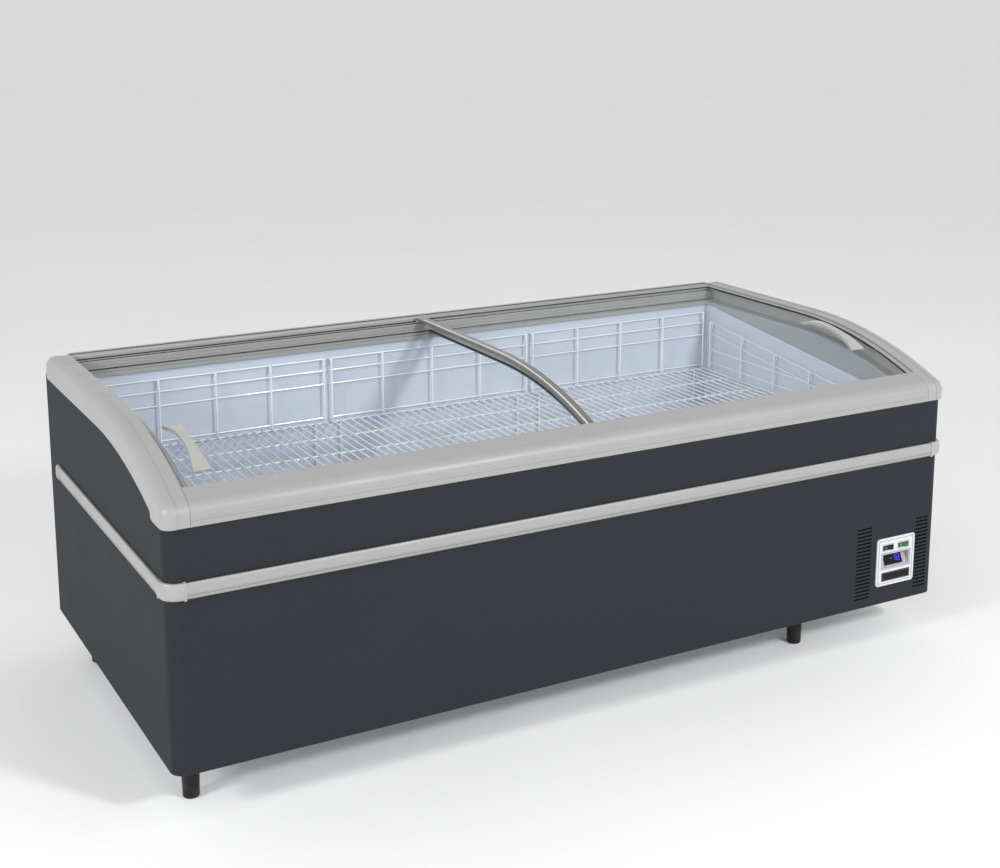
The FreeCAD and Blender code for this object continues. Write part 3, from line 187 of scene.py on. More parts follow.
def moulded(name, rgb, rough=0.45, along=None, wear=1.25, specular=0.45):
    """Moulded or extruded plastic: spark-eroded grain, flow streaks, rubbed edges.

    along is the noise scale on each axis for the streaks, low on the axis they
    run along. wear is how much lighter the rubbed edges are.
    """
    grain = 900.0
    p = Paint(name, rough, specular=specular)
    cloud = p.ramp(p.noise(6.0, 4.0), 0.3, 0.7)
    tone = p.blend(cloud, shade(rgb, 0.96), shade(rgb, 1.04))
    if along is not None:
        streak = p.ramp(p.noise(1.0, 2.0, where=p.stretched(along)), 0.35, 0.7)
        tone = p.blend(streak, tone, shade(rgb, 0.93))
    fleck = p.ramp(p.noise(grain * 0.7, 1.0, seed=3.0), 0.35, 0.7, 0.0, 0.5)
    tone = p.blend(fleck, tone, shade(rgb, 0.93))
    rubbed = p.math("MULTIPLY", p.edges(0.001), p.ramp(p.noise(40.0, seed=8.0), 0.35, 0.65, 0.15, 0.7))
    tone = p.blend(rubbed, tone, shade(rgb, wear))
    p.colour(tone)
    p.roughness(p.ramp(p.noise(14.0, 5.0, seed=1.0), 0.3, 0.7, rough - 0.06, rough + 0.07))
    p.bump(p.noise(grain, 2.0), 0.00005, 0.6)
    return p.mat


def bare_metal(name, rgb, rough=0.3, along=(3.0, 3.0, 900.0), spangle=0.0):
    """Rolled or galvanised metal: drawn lines and, if asked, zinc spangle."""
    p = Paint(name, rough, metallic=1.0)
    line = p.ramp(p.noise(1.0, 3.0, where=p.stretched(along)), 0.3, 0.7)
    tone = p.blend(line, shade(rgb, 0.86), shade(rgb, 1.08))
    if spangle > 0.0:
        flower = p.add("ShaderNodeTexVoronoi")
        flower.inputs["Scale"].default_value = spangle
        p.link(p.where, flower.inputs["Vector"])
        grey = p.add("ShaderNodeRGBToBW")
        p.link(flower.outputs["Color"], grey.inputs[0])
        tone = p.blend(p.ramp(grey.outputs[0], 0.2, 0.8, 0.0, 0.45), tone, shade(rgb, 0.80))
    p.colour(tone)
    p.roughness(p.ramp(p.noise(30.0, 4.0, seed=2.0), 0.3, 0.7, rough - 0.07, rough + 0.12))
    p.bump(line, 0.00003, 0.5)
    return p.mat


def liner_sheet(name, rgb):
    """Pre-painted inner liner: faint stucco, and frost in the corners near the floor."""
    p = Paint(name, 0.38, specular=0.4)
    cloud = p.ramp(p.noise(4.0, 5.0), 0.3, 0.7)
    tone = p.blend(cloud, shade(rgb, 0.97), shade(rgb, 1.02))
    up = p.add("ShaderNodeSeparateXYZ")
    p.link(p.where, up.inputs[0])
    low = p.ramp(up.outputs["Z"], 0.60, 0.50, 0.0, 1.0)
    frost = p.math("MULTIPLY", low, p.ramp(p.noise(55.0, 6.0, 0.7), 0.42, 0.7, 0.0, 0.6))
    tone = p.blend(frost, tone, (0.86, 0.9, 0.95))
    p.colour(tone)
    p.roughness(p.ramp(p.noise(20.0, 4.0, seed=5.0), 0.3, 0.7, 0.3, 0.46))
    cell = p.add("ShaderNodeTexVoronoi", feature="SMOOTH_F1")
    cell.inputs["Scale"].default_value = 190.0
    p.link(p.where, cell.inputs["Vector"])
    p.bump(cell.outputs["Distance"], 0.00018, 0.35)
    p.bump(p.noise(4.0, 1.0), 0.0015, 0.3)
    return p.mat


def coated_wire(name, rgb):
    """Dipped plastic coating on wire: glossy with slow runs."""
    p = Paint(name, 0.25, coat=0.3)
    tone = p.blend(p.ramp(p.noise(25.0, 4.0), 0.3, 0.7), shade(rgb, 0.93), rgb)
    p.colour(tone)
    p.roughness(p.ramp(p.noise(90.0, 3.0), 0.3, 0.7, 0.18, 0.36))
    p.bump(p.noise(140.0, 2.0), 0.00015, 0.5)
    return p.mat


def pane(name, tint):
    """Clear tempered glass: faint wiping marks, and a weak mirror seen at a slant."""
    haze = 0.012
    mirror = 0.07
    p = Paint(name, 0.05)
    p.tree.nodes.remove(p.shader)
    clear = p.add("ShaderNodeBsdfTransparent")
    clear.inputs["Color"].default_value = (*tint, 1.0)
    gloss = p.add("ShaderNodeBsdfPrincipled")
    gloss.inputs["Base Color"].default_value = (0.60, 0.70, 0.68, 1.0)
    gloss.inputs["Specular IOR Level"].default_value = 0.8
    p.shader = gloss
    p.roughness(p.ramp(p.noise(7.0, 6.0), 0.35, 0.7, 0.03, 0.09))
    slant = p.add("ShaderNodeFresnel")
    slant.inputs["IOR"].default_value = 1.5
    marks = p.ramp(p.noise(1.0, 5.0, where=p.stretched((26.0, 5.0, 5.0))), 0.5, 0.85, haze * 0.5, haze * 1.6)
    amount = p.math("MAXIMUM", p.math("MULTIPLY", slant.outputs[0], mirror), marks)
    mix = p.add("ShaderNodeMixShader")
    p.link(amount, mix.inputs[0])
    p.link(clear.outputs[0], mix.inputs[1])
    p.link(gloss.outputs[0], mix.inputs[2])
    p.link(mix.outputs[0], p.out.inputs["Surface"])
    return p.mat


def foam_board(name):
    """Cut face of rigid foam: open cells and an uneven cream colour."""
    p = Paint(name, 0.8)
    p.colour(p.blend(p.ramp(p.noise(60.0, 5.0), 0.3, 0.7), (0.78, 0.70, 0.48), (0.88, 0.82, 0.62)))
    p.bump(p.noise(240.0, 4.0), 0.0006, 0.8)
    return p.mat


def rubber(name, rgb=(0.02, 0.02, 0.021), rough=0.7):
    """Black rubber with a dusty bloom."""
    p = Paint(name, rough, specular=0.12)
    p.colour(p.blend(p.ramp(p.noise(35.0, 5.0), 0.4, 0.75), rgb, shade(rgb, 2.2)))
    p.roughness(p.ramp(p.noise(60.0, 4.0), 0.3, 0.7, rough - 0.12, min(1.0, rough + 0.1)))
    p.bump(p.noise(800.0, 3.0), 0.0001, 0.7)
    return p.mat


def glowing(name, rgb, strength):
    """Lit plastic."""
    p = Paint(name, 0.35)
    p.colour(p.blend(p.ramp(p.noise(900.0), 0.3, 0.7), shade(rgb, 0.8), rgb))
    p.set("Emission Color", (*rgb, 1.0))
    p.set("Emission Strength", strength)
    return p.mat


ANTHRACITE = (0.0265, 0.0305, 0.0350)
RAIL_GREY = (0.345, 0.348, 0.345)
ALONG_Y_FASCIA = (240.0, 2.0, 240.0)
ALONG_Y_LID = (300.0, 2.0, 300.0)

# by material slot of the record, and a few more for single nodes
MATS = {
    "casing_steel": painted_steel("casing_paint", ANTHRACITE),
    "galvanised": bare_metal("galvanised_sheet", (0.52, 0.54, 0.56), 0.45, spangle=85.0),
    "top_frame": moulded("top_frame_plastic", RAIL_GREY, 0.42, along=(2.0, 260.0, 260.0)),
    "cap_plastic": moulded("cap_plastic", shade(RAIL_GREY, 1.02), 0.42),
    "bumper_plastic": moulded("bumper_rail_plastic", RAIL_GREY, 0.4, along=(3.0, 3.0, 420.0)),
    "corner_plastic": moulded("bumper_corner_plastic", shade(RAIL_GREY, 1.06), 0.38),
    "fascia_plastic": moulded("fascia_plastic", (0.37, 0.375, 0.41), 0.5, along=ALONG_Y_FASCIA),
    "liner_sheet": liner_sheet("liner_paint", (0.60, 0.64, 0.75)),
    "foam": foam_board("foam_board"),
    "white_wire": coated_wire("white_wire_coat", (0.88, 0.89, 0.92)),
    "lid_glass": pane("lid_pane", (0.985, 0.995, 0.99)),
    "lid_frame": moulded("lid_frame_plastic", (0.34, 0.34, 0.33), 0.36, along=ALONG_Y_LID),
    "inner_frame_plastic": moulded("inner_frame_plastic", (0.16, 0.16, 0.155), 0.32, along=ALONG_Y_LID),
    "handle_plastic": moulded("handle_plastic", (0.42, 0.42, 0.395), 0.34),
    "black_plastic": moulded("black_plastic", (0.007, 0.007, 0.008), 0.45, wear=3.0, specular=0.2),
    "foot_plastic": rubber("foot_plastic", (0.016, 0.016, 0.017), 0.5),
    "white_plastic": moulded("white_plastic", (0.66, 0.665, 0.70), 0.35, wear=1.08),
    "grey_plastic": moulded("housing_plastic", (0.40, 0.40, 0.42), 0.45),
    "display_dark": moulded("display_dark", (0.003, 0.003, 0.006), 0.2, wear=1.0, specular=0.2),
    "green_lamp": moulded("green_lamp", (0.018, 0.125, 0.04), 0.3, wear=1.6, specular=0.3),
    "black_steel": painted_steel("black_enamel", (0.014, 0.014, 0.015), 0.35),
    "copper": bare_metal("copper_tube", (0.80, 0.42, 0.26), 0.32),
    "fin_aluminium": bare_metal("fin_aluminium", (0.72, 0.73, 0.74), 0.35),
    "rubber_black": rubber("rubber_mount"),
    "screw_steel": bare_metal("screw_steel", (0.62, 0.62, 0.62), 0.3, along=(400.0, 400.0, 400.0)),
}

# nodes whose material isn't the one of their slot
SPECIAL = {
    "end_cap_left": "cap_plastic", "end_cap_right": "cap_plastic",
    "bumper_corner_left": "corner_plastic", "bumper_corner_right": "corner_plastic",
    "bumper_end_caps": "corner_plastic",
    "lid_left_inner_frame": "inner_frame_plastic", "lid_right_inner_frame": "inner_frame_plastic",
}


def dress(obj, mat):
    """Give an object this one material."""
    obj.data.materials.clear()
    obj.data.materials.append(mat)


slot_of = {s["node"]: s["material_slot"] for s in frame["record"]["subparts"]}
for node_name, obj in NODES.items():
    dress(obj, MATS[SPECIAL.get(node_name, slot_of[node_name])])


# ---------------------------------------------------------------------------
# Mesh tools
# ---------------------------------------------------------------------------
SHARP_ANGLE = math.radians(38.0)


def new_piece(name, bm, mat, body):
    """Turn a bmesh into a piece that rides on a CAD body."""
    bmesh.ops.recalc_face_normals(bm, faces=bm.faces[:])
    mesh = bpy.data.meshes.new(name)
    bm.to_mesh(mesh)
    bm.free()
    obj = bpy.data.objects.new(name, mesh)
    SCENE.collection.objects.link(obj)
    mesh.shade_smooth()
    mesh.set_sharp_from_angle(angle=SHARP_ANGLE)
    dress(obj, mat)
    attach(obj, body)
    return obj


def rounded_path(points, bend):
    """Polyline with each inner corner replaced by a short arc."""
    steps = 5
    pts = [Vector(p) for p in points]
    path = [pts[0]]
    for before, corner, after in zip(pts, pts[1:], pts[2:]):
        into = (corner - before).normalized()
        out = (after - corner).normalized()
        turn = into.angle(out)
        if turn < 1e-3:
            path.append(corner)
            continue
        shorter = min((corner - before).length, (after - corner).length)
        reach = min(bend * math.tan(turn / 2.0), shorter * 0.45)
        start = corner - into * reach
        end = corner + out * reach
        for i in range(steps + 1):
            t = i / steps
            path.append(start.lerp(corner, t).lerp(corner.lerp(end, t), t))
    path.append(pts[-1])
    return path


def skin(bm, rings):
    """Closed solid through rings of vertices."""
    count = len(rings[0])
    for near, far in zip(rings, rings[1:]):
        for k in range(count):
            bm.faces.new((near[k], near[(k + 1) % count], far[(k + 1) % count], far[k]))
    bm.faces.new(rings[0][::-1])
    bm.faces.new(rings[-1])


def tube(bm, path, radius, sides):
    """Closed round wire along a path."""
    pts = [Vector(p) for p in path]
    tangent = (pts[1] - pts[0]).normalized()
    side = tangent.orthogonal().normalized()
    rings = []
    for i, point in enumerate(pts):
        if 0 < i < len(pts) - 1:
            ahead = ((pts[i + 1] - point).normalized() + (point - pts[i - 1]).normalized()).normalized()
        else:
            ahead = (pts[1] - pts[0] if i == 0 else pts[-1] - pts[-2]).normalized()
        side = (side - ahead * side.dot(ahead)).normalized()
        up = ahead.cross(side)
        ring = [bm.verts.new(point + (side * math.cos(a) + up * math.sin(a)) * radius)
                for a in (2.0 * math.pi * k / sides for k in range(sides))]
        rings.append(ring)
    skin(bm, rings)


def slab(bm, low, high, bevel):
    """Box with chamfered edges."""
    made = bmesh.ops.create_cube(bm, size=1.0)["verts"]
    low = Vector(low)
    high = Vector(high)
    for vert in made:
        vert.co = Vector(tuple(low[i] if vert.co[i] < 0 else high[i] for i in range(3)))
    edges = list(dict.fromkeys(edge for vert in made for edge in vert.link_edges))
    bmesh.ops.bevel(bm, geom=edges, offset=bevel, segments=1, profile=0.6, affect="EDGES")


def lathe(bm, profile, centre, steps):
    """Turned solid about the y axis: profile is (radius, distance along +y) pairs."""
    rings = []
    for radius, out in profile:
        if radius == 0.0:
            rings.append([bm.verts.new(centre + Vector((0.0, out, 0.0)))])
            continue
        rings.append([bm.verts.new(centre + Vector((radius * math.cos(a), out, radius * math.sin(a))))
                      for a in (2.0 * math.pi * k / steps for k in range(steps))])
    for low, high in zip(rings, rings[1:]):
        for k in range(steps):
            a, b = low[k % len(low)], low[(k + 1) % len(low)]
            c, d = high[(k + 1) % len(high)], high[k % len(high)]
            corners = []
            for vert in (a, b, c, d):
                if vert not in corners:
                    corners.append(vert)
            if len(corners) > 2:
                bm.faces.new(corners)

# ---------------------------------------------------------------------------
# Wire guards and floor
# ---------------------------------------------------------------------------
LINER_FRONT_Y = -0.420
LINER_BACK_Y = 0.430
LINER_X = 0.950
LINER_FLOOR_Z = 0.190
STEP_X = 0.640                  # the liner is shallower past here, over the machine room
STEP_Z = 0.430
LINER_RIM_FRONT_Z = 0.640
LINER_RIM_BACK_Z = 0.7375
GRID_Z = 0.540                  # top of the raised wire floor

PANEL_WIDTH = 0.606
PANEL_CENTRES = (-0.628, 0.0, 0.628)
UPRIGHT_RADIUS = 0.0026
CROSS_RADIUS = 0.0019
STAND_OFF = 0.0140              # from the wall to an upright's axis
HOOK_OFF = 0.0045               # from the wall to the axis of a hook's tail
CROSS_OFF = 0.0042              # from an upright's axis to the axis of a cross wire
GUARD_FOOT_Z = GRID_Z + 0.004


def build_wall_guard(name, node, wall_y, inward, rows, top_z):
    """Three panels of upright wires, hooked back to the wall over their top."""
    hook_tail = 0.022
    hook_bend = 0.008
    overhang = 0.006
    wire_y = wall_y + inward * STAND_OFF
    tail_y = wall_y + inward * HOOK_OFF
    cross_y = wire_y - inward * CROSS_OFF
    bm = bmesh.new()
    for centre in PANEL_CENTRES:
        xs = [centre - PANEL_WIDTH / 2.0 + PANEL_WIDTH * i / 4.0 for i in range(5)]
        for x in xs:
            hook = [(x, wire_y, GUARD_FOOT_Z), (x, wire_y, top_z), (x, tail_y, top_z), (x, tail_y, top_z - hook_tail)]
            tube(bm, rounded_path(hook, hook_bend), UPRIGHT_RADIUS, 10)
        for z in rows:
            tube(bm, [(xs[0] - overhang, cross_y, z), (xs[-1] + overhang, cross_y, z)], CROSS_RADIUS, 8)
    obj = new_piece(name, bm, MATS["white_wire"], "cabinet")
    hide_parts(node)


def rim_z(y):
    """Height of the liner's rim along its sloping ends."""
    share = (y - LINER_FRONT_Y) / (LINER_BACK_Y - LINER_FRONT_Y)
    return LINER_RIM_FRONT_Z + share * (LINER_RIM_BACK_Z - LINER_RIM_FRONT_Z)


def build_end_guard(name, node, side):
    """End panel: its two upper wires slope with the liner's rim."""
    first_y, last_y = -0.395, 0.386
    hook_tail = 0.020
    hook_bend = 0.007
    overhang = 0.004
    upper_drops = (0.045, 0.081)
    wall = side * LINER_X
    wire_x = wall - side * STAND_OFF
    tail_x = wall - side * HOOK_OFF
    cross_x = wire_x + side * CROSS_OFF
    bm = bmesh.new()
    ys = [first_y + (last_y - first_y) * i / 5.0 for i in range(6)]
    for y in ys:
        top = rim_z(y) - upper_drops[0]
        hook = [(wire_x, y, GUARD_FOOT_Z), (wire_x, y, top), (tail_x, y, top), (tail_x, y, top - hook_tail)]
        tube(bm, rounded_path(hook, hook_bend), UPRIGHT_RADIUS, 10)
    front, rear = ys[0] - overhang, ys[-1] + overhang
    for drop in upper_drops:
        tube(bm, [(cross_x, front, rim_z(front) - drop), (cross_x, rear, rim_z(rear) - drop)], CROSS_RADIUS, 8)
    for z, start in ((GRID_Z + 0.021, front), (GRID_Z + 0.060, ys[2])):
        tube(bm, [(cross_x, start, z), (cross_x, rear, z)], CROSS_RADIUS, 8)
    obj = new_piece(name, bm, MATS["white_wire"], "cabinet")
    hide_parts(node)


build_wall_guard("guard_wires_back", "guards_back", LINER_BACK_Y, -1.0, (0.548, 0.642, 0.680, 0.712), 0.712)
build_wall_guard("guard_wires_front", "guards_front", LINER_FRONT_Y, 1.0, (0.548, 0.588, 0.628), 0.630)
build_end_guard("guard_wires_left", "guard_left", -1.0)
build_end_guard("guard_wires_right", "guard_right", 1.0)


def build_floor():
    """Raised floor of round wires on heavier cross wires, with wire legs."""
    front_y, rear_y = -0.412, 0.422
    gaps = 24
    bearer_gaps = 6
    wire_z = GRID_Z - 0.002
    bearer_z = GRID_Z - 0.0065
    bearer_overhang = 0.002
    leg_top = GRID_Z - 0.007
    leg_lift = 0.0012
    bm = bmesh.new()
    for centre in PANEL_CENTRES:
        left, right = centre - PANEL_WIDTH / 2.0, centre + PANEL_WIDTH / 2.0
        for i in range(gaps + 1):
            x = left + PANEL_WIDTH * i / gaps
            tube(bm, [(x, front_y, wire_z), (x, rear_y, wire_z)], 0.0020, 8)
        for i in range(bearer_gaps + 1):
            y = front_y + (rear_y - front_y) * i / bearer_gaps
            tube(bm, [(left - bearer_overhang, y, bearer_z), (right + bearer_overhang, y, bearer_z)], 0.0027, 10)
        for x in (left + PANEL_WIDTH / gaps, right - PANEL_WIDTH / gaps):
            foot_z = (STEP_Z if x > STEP_X else LINER_FLOOR_Z) + leg_lift
            for y in (front_y, rear_y):
                tube(bm, [(x, y, foot_z), (x, y, leg_top)], 0.0030, 10)
    obj = new_piece("floor_wires", bm, MATS["white_wire"], "cabinet")
    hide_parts("floor_grids")


build_floor()

# ---------------------------------------------------------------------------
# Lids: handles, seals, and a light bead along the side curve that is a painted highlight
# ---------------------------------------------------------------------------
TOP_Z = 0.790
CURVE_RADIUS = 1.230            # of the front half; the back half is level
UPPER_GLASS = 0.006             # how far each pane's top face lies below the side curve
LOWER_GLASS = 0.033
# dark rubber for the panes' seals, also used as painted shade: the dark lines in the back rail's track grooves and
# along the bumper rail's edges
SEAL_AND_SHADE = rubber("seal_rubber_and_painted_shade", (0.018, 0.018, 0.019), 0.6)
# light plastic for the bead that is a painted highlight along the upper lid's inner frame
HIGHLIGHT_BEAD = moulded("painted_highlight_bead", (0.74, 0.74, 0.71), 0.3, wear=1.1)


def on_curve(depth, y):
    """Height of the surface that lies this deep below the side curve."""
    radius = CURVE_RADIUS - depth
    return TOP_Z - depth if y >= 0.0 else TOP_Z - CURVE_RADIUS + math.sqrt(radius * radius - y * y)


def curve_bead(bm, x, depth, start, end, radius):
    """Round bead that follows the side curve at one place along the length."""
    steps = 40
    ys = [start + (end - start) * i / steps for i in range(steps + 1)]
    tube(bm, [(x, y, on_curve(depth, y)) for y in ys], radius, 8)


def build_handle(name, node, body, glass_depth, centre_x, centre_y):
    """Bow handle moulded as an upturned channel, flared at both feet."""
    half_length = 0.1075
    rise = 0.0205
    foot_height = 0.0050
    foot_start = 0.78           # share of the half length
    bow_depth = 0.0085
    lowest = 0.0002
    waist_half = 0.0100
    flare = 0.0112
    wall = 0.0026
    corner = 0.0018
    corner_turns = (0.4, 0.8, 1.2, 1.57)
    stations = 44

    radius = CURVE_RADIUS - glass_depth
    middle = math.asin(-centre_y / radius)
    bm = bmesh.new()
    rings = []
    for i in range(stations + 1):
        share = -1.0 + 2.0 * i / stations
        grow = abs(share)
        top = foot_height + (rise - foot_height) * (1.0 - grow ** 2.6)
        foot = max(0.0, (grow - foot_start) / (1.0 - foot_start))
        low = max(lowest, (top - bow_depth) * (1.0 - foot * foot * (3.0 - 2.0 * foot)))
        wide = waist_half + flare * grow ** 1.9
        ceiling = max(low, top - wall)
        outline = [(-wide, low), (-wide, top - corner)]
        outline += [(-wide + corner * (1.0 - math.cos(a)), top - corner + corner * math.sin(a))
                    for a in corner_turns]
        outline += [(wide - corner * (1.0 - math.cos(a)), top - corner + corner * math.sin(a))
                    for a in reversed(corner_turns)]
        outline += [(wide, top - corner), (wide, low), (wide - wall, low), (wide - wall, ceiling),
                    (-wide + wall, ceiling), (-wide + wall, low)]
        angle = middle - half_length * share / radius
        rings.append([bm.verts.new((centre_x + u, -(radius + height) * math.sin(angle),
                                    TOP_Z - CURVE_RADIUS + (radius + height) * math.cos(angle)))
                      for u, height in outline])
    skin(bm, rings)
    obj = new_piece(name, bm, MATS["handle_plastic"], body)
    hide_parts(node)


build_handle("bow_handle_left", "lid_left_handle", "lid_left", LOWER_GLASS, -0.912, -0.248)
build_handle("bow_handle_right", "lid_right_handle", "lid_right", UPPER_GLASS, 0.912, -0.200)

OUTER_SEAL_X = 0.9674
INNER_SEAL_X = 0.0026
SEAL_SINK = 0.0002
for lid, side, glass, front, rear in (("left", -1.0, LOWER_GLASS, -0.4470, 0.4250),
                                      ("right", 1.0, UPPER_GLASS, -0.4550, 0.4510)):
    bm = bmesh.new()
    curve_bead(bm, side * OUTER_SEAL_X, glass - SEAL_SINK, front, rear, 0.0013)
    curve_bead(bm, side * INNER_SEAL_X, glass - SEAL_SINK, front, rear, 0.0009)
    new_piece("pane_seals_" + lid, bm, SEAL_AND_SHADE, "lid_" + lid)

# the upper lid's light bead, half sunk in its inner frame: a painted highlight on the frame's top-left edge
HIGHLIGHT_BEAD_X = -0.0158
HIGHLIGHT_BEAD_DEPTH = UPPER_GLASS - 0.0006
bm = bmesh.new()
curve_bead(bm, HIGHLIGHT_BEAD_X, HIGHLIGHT_BEAD_DEPTH, -0.4400, 0.4340, 0.0026)
new_piece("inner_frame_highlight_bead", bm, HIGHLIGHT_BEAD, "lid_right")

# y, z and radius of the dark lines along the back rail's tracks: painted shade in the track grooves
TRACK_GROOVE_SHADE_LINES = ((0.4710, 0.7742, 0.0018), (0.4490, 0.7740, 0.0012), (0.4434, 0.7472, 0.0014),
               (0.4785, 0.7898, 0.0009))
TRACK_HALF = 0.9845
bm = bmesh.new()
for y, z, radius in TRACK_GROOVE_SHADE_LINES:
    tube(bm, [(-TRACK_HALF, y, z), (TRACK_HALF, y, z)], radius, 8)
new_piece("track_groove_shade", bm, SEAL_AND_SHADE, "cabinet")

# ---------------------------------------------------------------------------
# Bumper rail lines: painted shade along the rail's edges and in its crown groove
# ---------------------------------------------------------------------------
BUMPER_HALF = 1.0005            # straight run of the front rail
BUMPER_START_Y = -0.4555        # straight run of the end rails
BUMPER_END_Y = 0.3945


def bumper_lines(name, heights, front_y, end_x, radius, sides, mat):
    """Fine dark lines along the front rail and both end rails: painted shade."""
    bm = bmesh.new()
    for z in heights:
        tube(bm, [(-BUMPER_HALF, front_y, z), (BUMPER_HALF, front_y, z)], radius, sides)
        for side in (-1.0, 1.0):
            tube(bm, [(side * end_x, BUMPER_START_Y, z), (side * end_x, BUMPER_END_Y, z)], radius, sides)
    new_piece(name, bm, mat, "cabinet")


# the dark lines at the rail's lower and upper edge are a painted shadow; the two on its crown are painted shade in a
# fine groove
bumper_lines("bumper_shadow_lines", (0.4925, 0.5275), -0.4964, 1.0414, 0.0011, 8, SEAL_AND_SHADE)
bumper_lines("bumper_crown_groove_shade", (0.5010, 0.5035), -0.50455, 1.04955, 0.00045, 6,
             moulded("crown_groove_painted_shade", (0.16, 0.16, 0.16), 0.5, wear=1.3))

# ---------------------------------------------------------------------------
# Control panel
# ---------------------------------------------------------------------------
PLATE_X = 0.836
PLATE_Z = 0.158
PLATE_W = 0.128
PLATE_H = 0.130
PLATE_FACE_Y = -0.4992
LABEL_FACE_Y = -0.5000
LINE_INSET = 0.0065
ROCKER_CENTRES = {"rocker_power": 0.0365, "rocker_light": 0.0885}
ROCKER_HALF_W = 0.0185


def outline_ring(bm, low, high, y, corner, radius):
    """Thin line round a rounded rectangle that faces the front, placed from the plate's lower left."""
    steps = 6
    x0, z0 = PLATE_X + low[0], PLATE_Z + low[1]
    x1, z1 = PLATE_X + high[0], PLATE_Z + high[1]
    path = []
    for cx, cz, start in ((x1 - corner, z0 + corner, -90.0), (x1 - corner, z1 - corner, 0.0),
                          (x0 + corner, z1 - corner, 90.0), (x0 + corner, z0 + corner, 180.0)):
        for i in range(steps + 1):
            a = math.radians(start + 90.0 * i / steps)
            path.append((cx + corner * math.cos(a), y, cz + corner * math.sin(a)))
    path.append(path[0])
    tube(bm, path, radius, 6)


bm = bmesh.new()
outline_ring(bm, (LINE_INSET, LINE_INSET), (PLATE_W - LINE_INSET, PLATE_H - LINE_INSET), PLATE_FACE_Y, 0.004, 0.00055)
for centre in ROCKER_CENTRES.values():
    outline_ring(bm, (centre - ROCKER_HALF_W, 0.0955), (centre + ROCKER_HALF_W, 0.1125), PLATE_FACE_Y, 0.0015, 0.0005)
outline_ring(bm, (0.0155, 0.0445), (0.1145, 0.0895), PLATE_FACE_Y, 0.002, 0.0005)
new_piece("panel_inset_lines", bm, moulded("panel_line_print", (0.10, 0.10, 0.11), 0.5, wear=1.2), "cabinet")

bm = bmesh.new()
outline_ring(bm, (0.0200, 0.0140), (0.1120, 0.0340), LABEL_FACE_Y, 0.0012, 0.0003)
new_piece("label_border", bm, moulded("label_print", (0.30, 0.30, 0.31), 0.4, wear=1.1), "cabinet")

# seven-segment digits on the leaning display
DISPLAY_X = 0.898
DISPLAY_MIDDLE = 0.0199         # up the lean from its foot
DISPLAY_THICK = 0.0022
LEAN_LOW = Vector((0.0, -0.4962, 0.207))
LEAN = (Vector((0.0, -0.4792, 0.243)) - LEAN_LOW).normalized()
LEAN_OUT = Vector((0.0, -LEAN.z, LEAN.y))
DIGIT_HIGH = 0.0165
DIGIT_WIDE = 0.0085
STROKE = 0.0014
SEGMENTS = {"-": "g", "1": "bc", "8": "abcdefg"}


def on_display(u, v, lift):
    """Place on the display: across from its middle, up from its middle, off its face."""
    return (Vector((DISPLAY_X, 0.0, 0.0)) + Vector((u, 0.0, 0.0)) + LEAN_LOW + LEAN * (DISPLAY_MIDDLE + v)
            + LEAN_OUT * (DISPLAY_THICK + lift))


def segment(bm, a, b):
    """Six-sided bar between two places on the display."""
    along = Vector((b[0] - a[0], b[1] - a[1])).normalized()
    across = Vector((-along.y, along.x)) * STROKE / 2.0
    inset = along * STROKE / 2.0
    start, end = Vector(a) + inset * 0.3, Vector(b) - inset * 0.3
    outline = [start, start + inset + across, end - inset + across, end, end - inset - across, start + inset - across]
    skin(bm, [[bm.verts.new(on_display(p.x, p.y, lift)) for p in outline] for lift in (0.0001, 0.0004)])


def digit(bm, mark, u):
    """One digit or sign of the display, from its lit segments."""
    top, mid, low = DIGIT_HIGH / 2.0, 0.0, -DIGIT_HIGH / 2.0
    left, right = u - DIGIT_WIDE / 2.0, u + DIGIT_WIDE / 2.0
    ends = {"a": ((left, top), (right, top)), "b": ((right, mid), (right, top)), "c": ((right, low), (right, mid)),
            "d": ((left, low), (right, low)), "e": ((left, low), (left, mid)), "f": ((left, mid), (left, top)),
            "g": ((left, mid), (right, mid))}
    for key in SEGMENTS[mark]:
        segment(bm, *ends[key])


bm = bmesh.new()
for mark, u in (("-", -0.0060), ("1", 0.0040), ("8", 0.0170)):
    digit(bm, mark, u)
new_piece("display_digits", bm, glowing("digit_blue", (0.06, 0.04, 0.80), 0.9), "cabinet")

# a block and a bar on each rocker; the rockers lean at rest
ROCKER_LEAN = math.radians(-7.0)
ROCKER_PIVOT_Y = -0.4962
ROCKER_FOOT_Z = PLATE_Z + 0.0981
ROCKER_MARKS = {"rocker_power": moulded("rocker_mark", (0.16, 0.16, 0.16), 0.4, wear=1.1),
                "rocker_light": glowing("lamp_green_lit", (0.05, 0.36, 0.10), 0.2)}
for body, mat in ROCKER_MARKS.items():
    bm = bmesh.new()
    slab(bm, (-0.0105, -0.0048, 0.0035), (-0.0045, -0.0042, 0.0080), 0.0002)
    slab(bm, (0.0072, -0.0048, 0.0030), (0.0080, -0.0042, 0.0085), 0.0001)
    pivot = Matrix.Translation((PLATE_X + ROCKER_CENTRES[body], ROCKER_PIVOT_Y, ROCKER_FOOT_Z))
    bmesh.ops.transform(bm, matrix=pivot @ Matrix.Rotation(ROCKER_LEAN, 4, "Z"), verts=bm.verts[:])
    new_piece(body + "_marks", bm, mat, body)

# ---------------------------------------------------------------------------
# Near-black sheets behind the vents: painted shade
# ---------------------------------------------------------------------------
SHADE_SHEET_Y = (-0.4944, -0.4934)
SHADE_SHEET_Z = (0.126, 0.346)
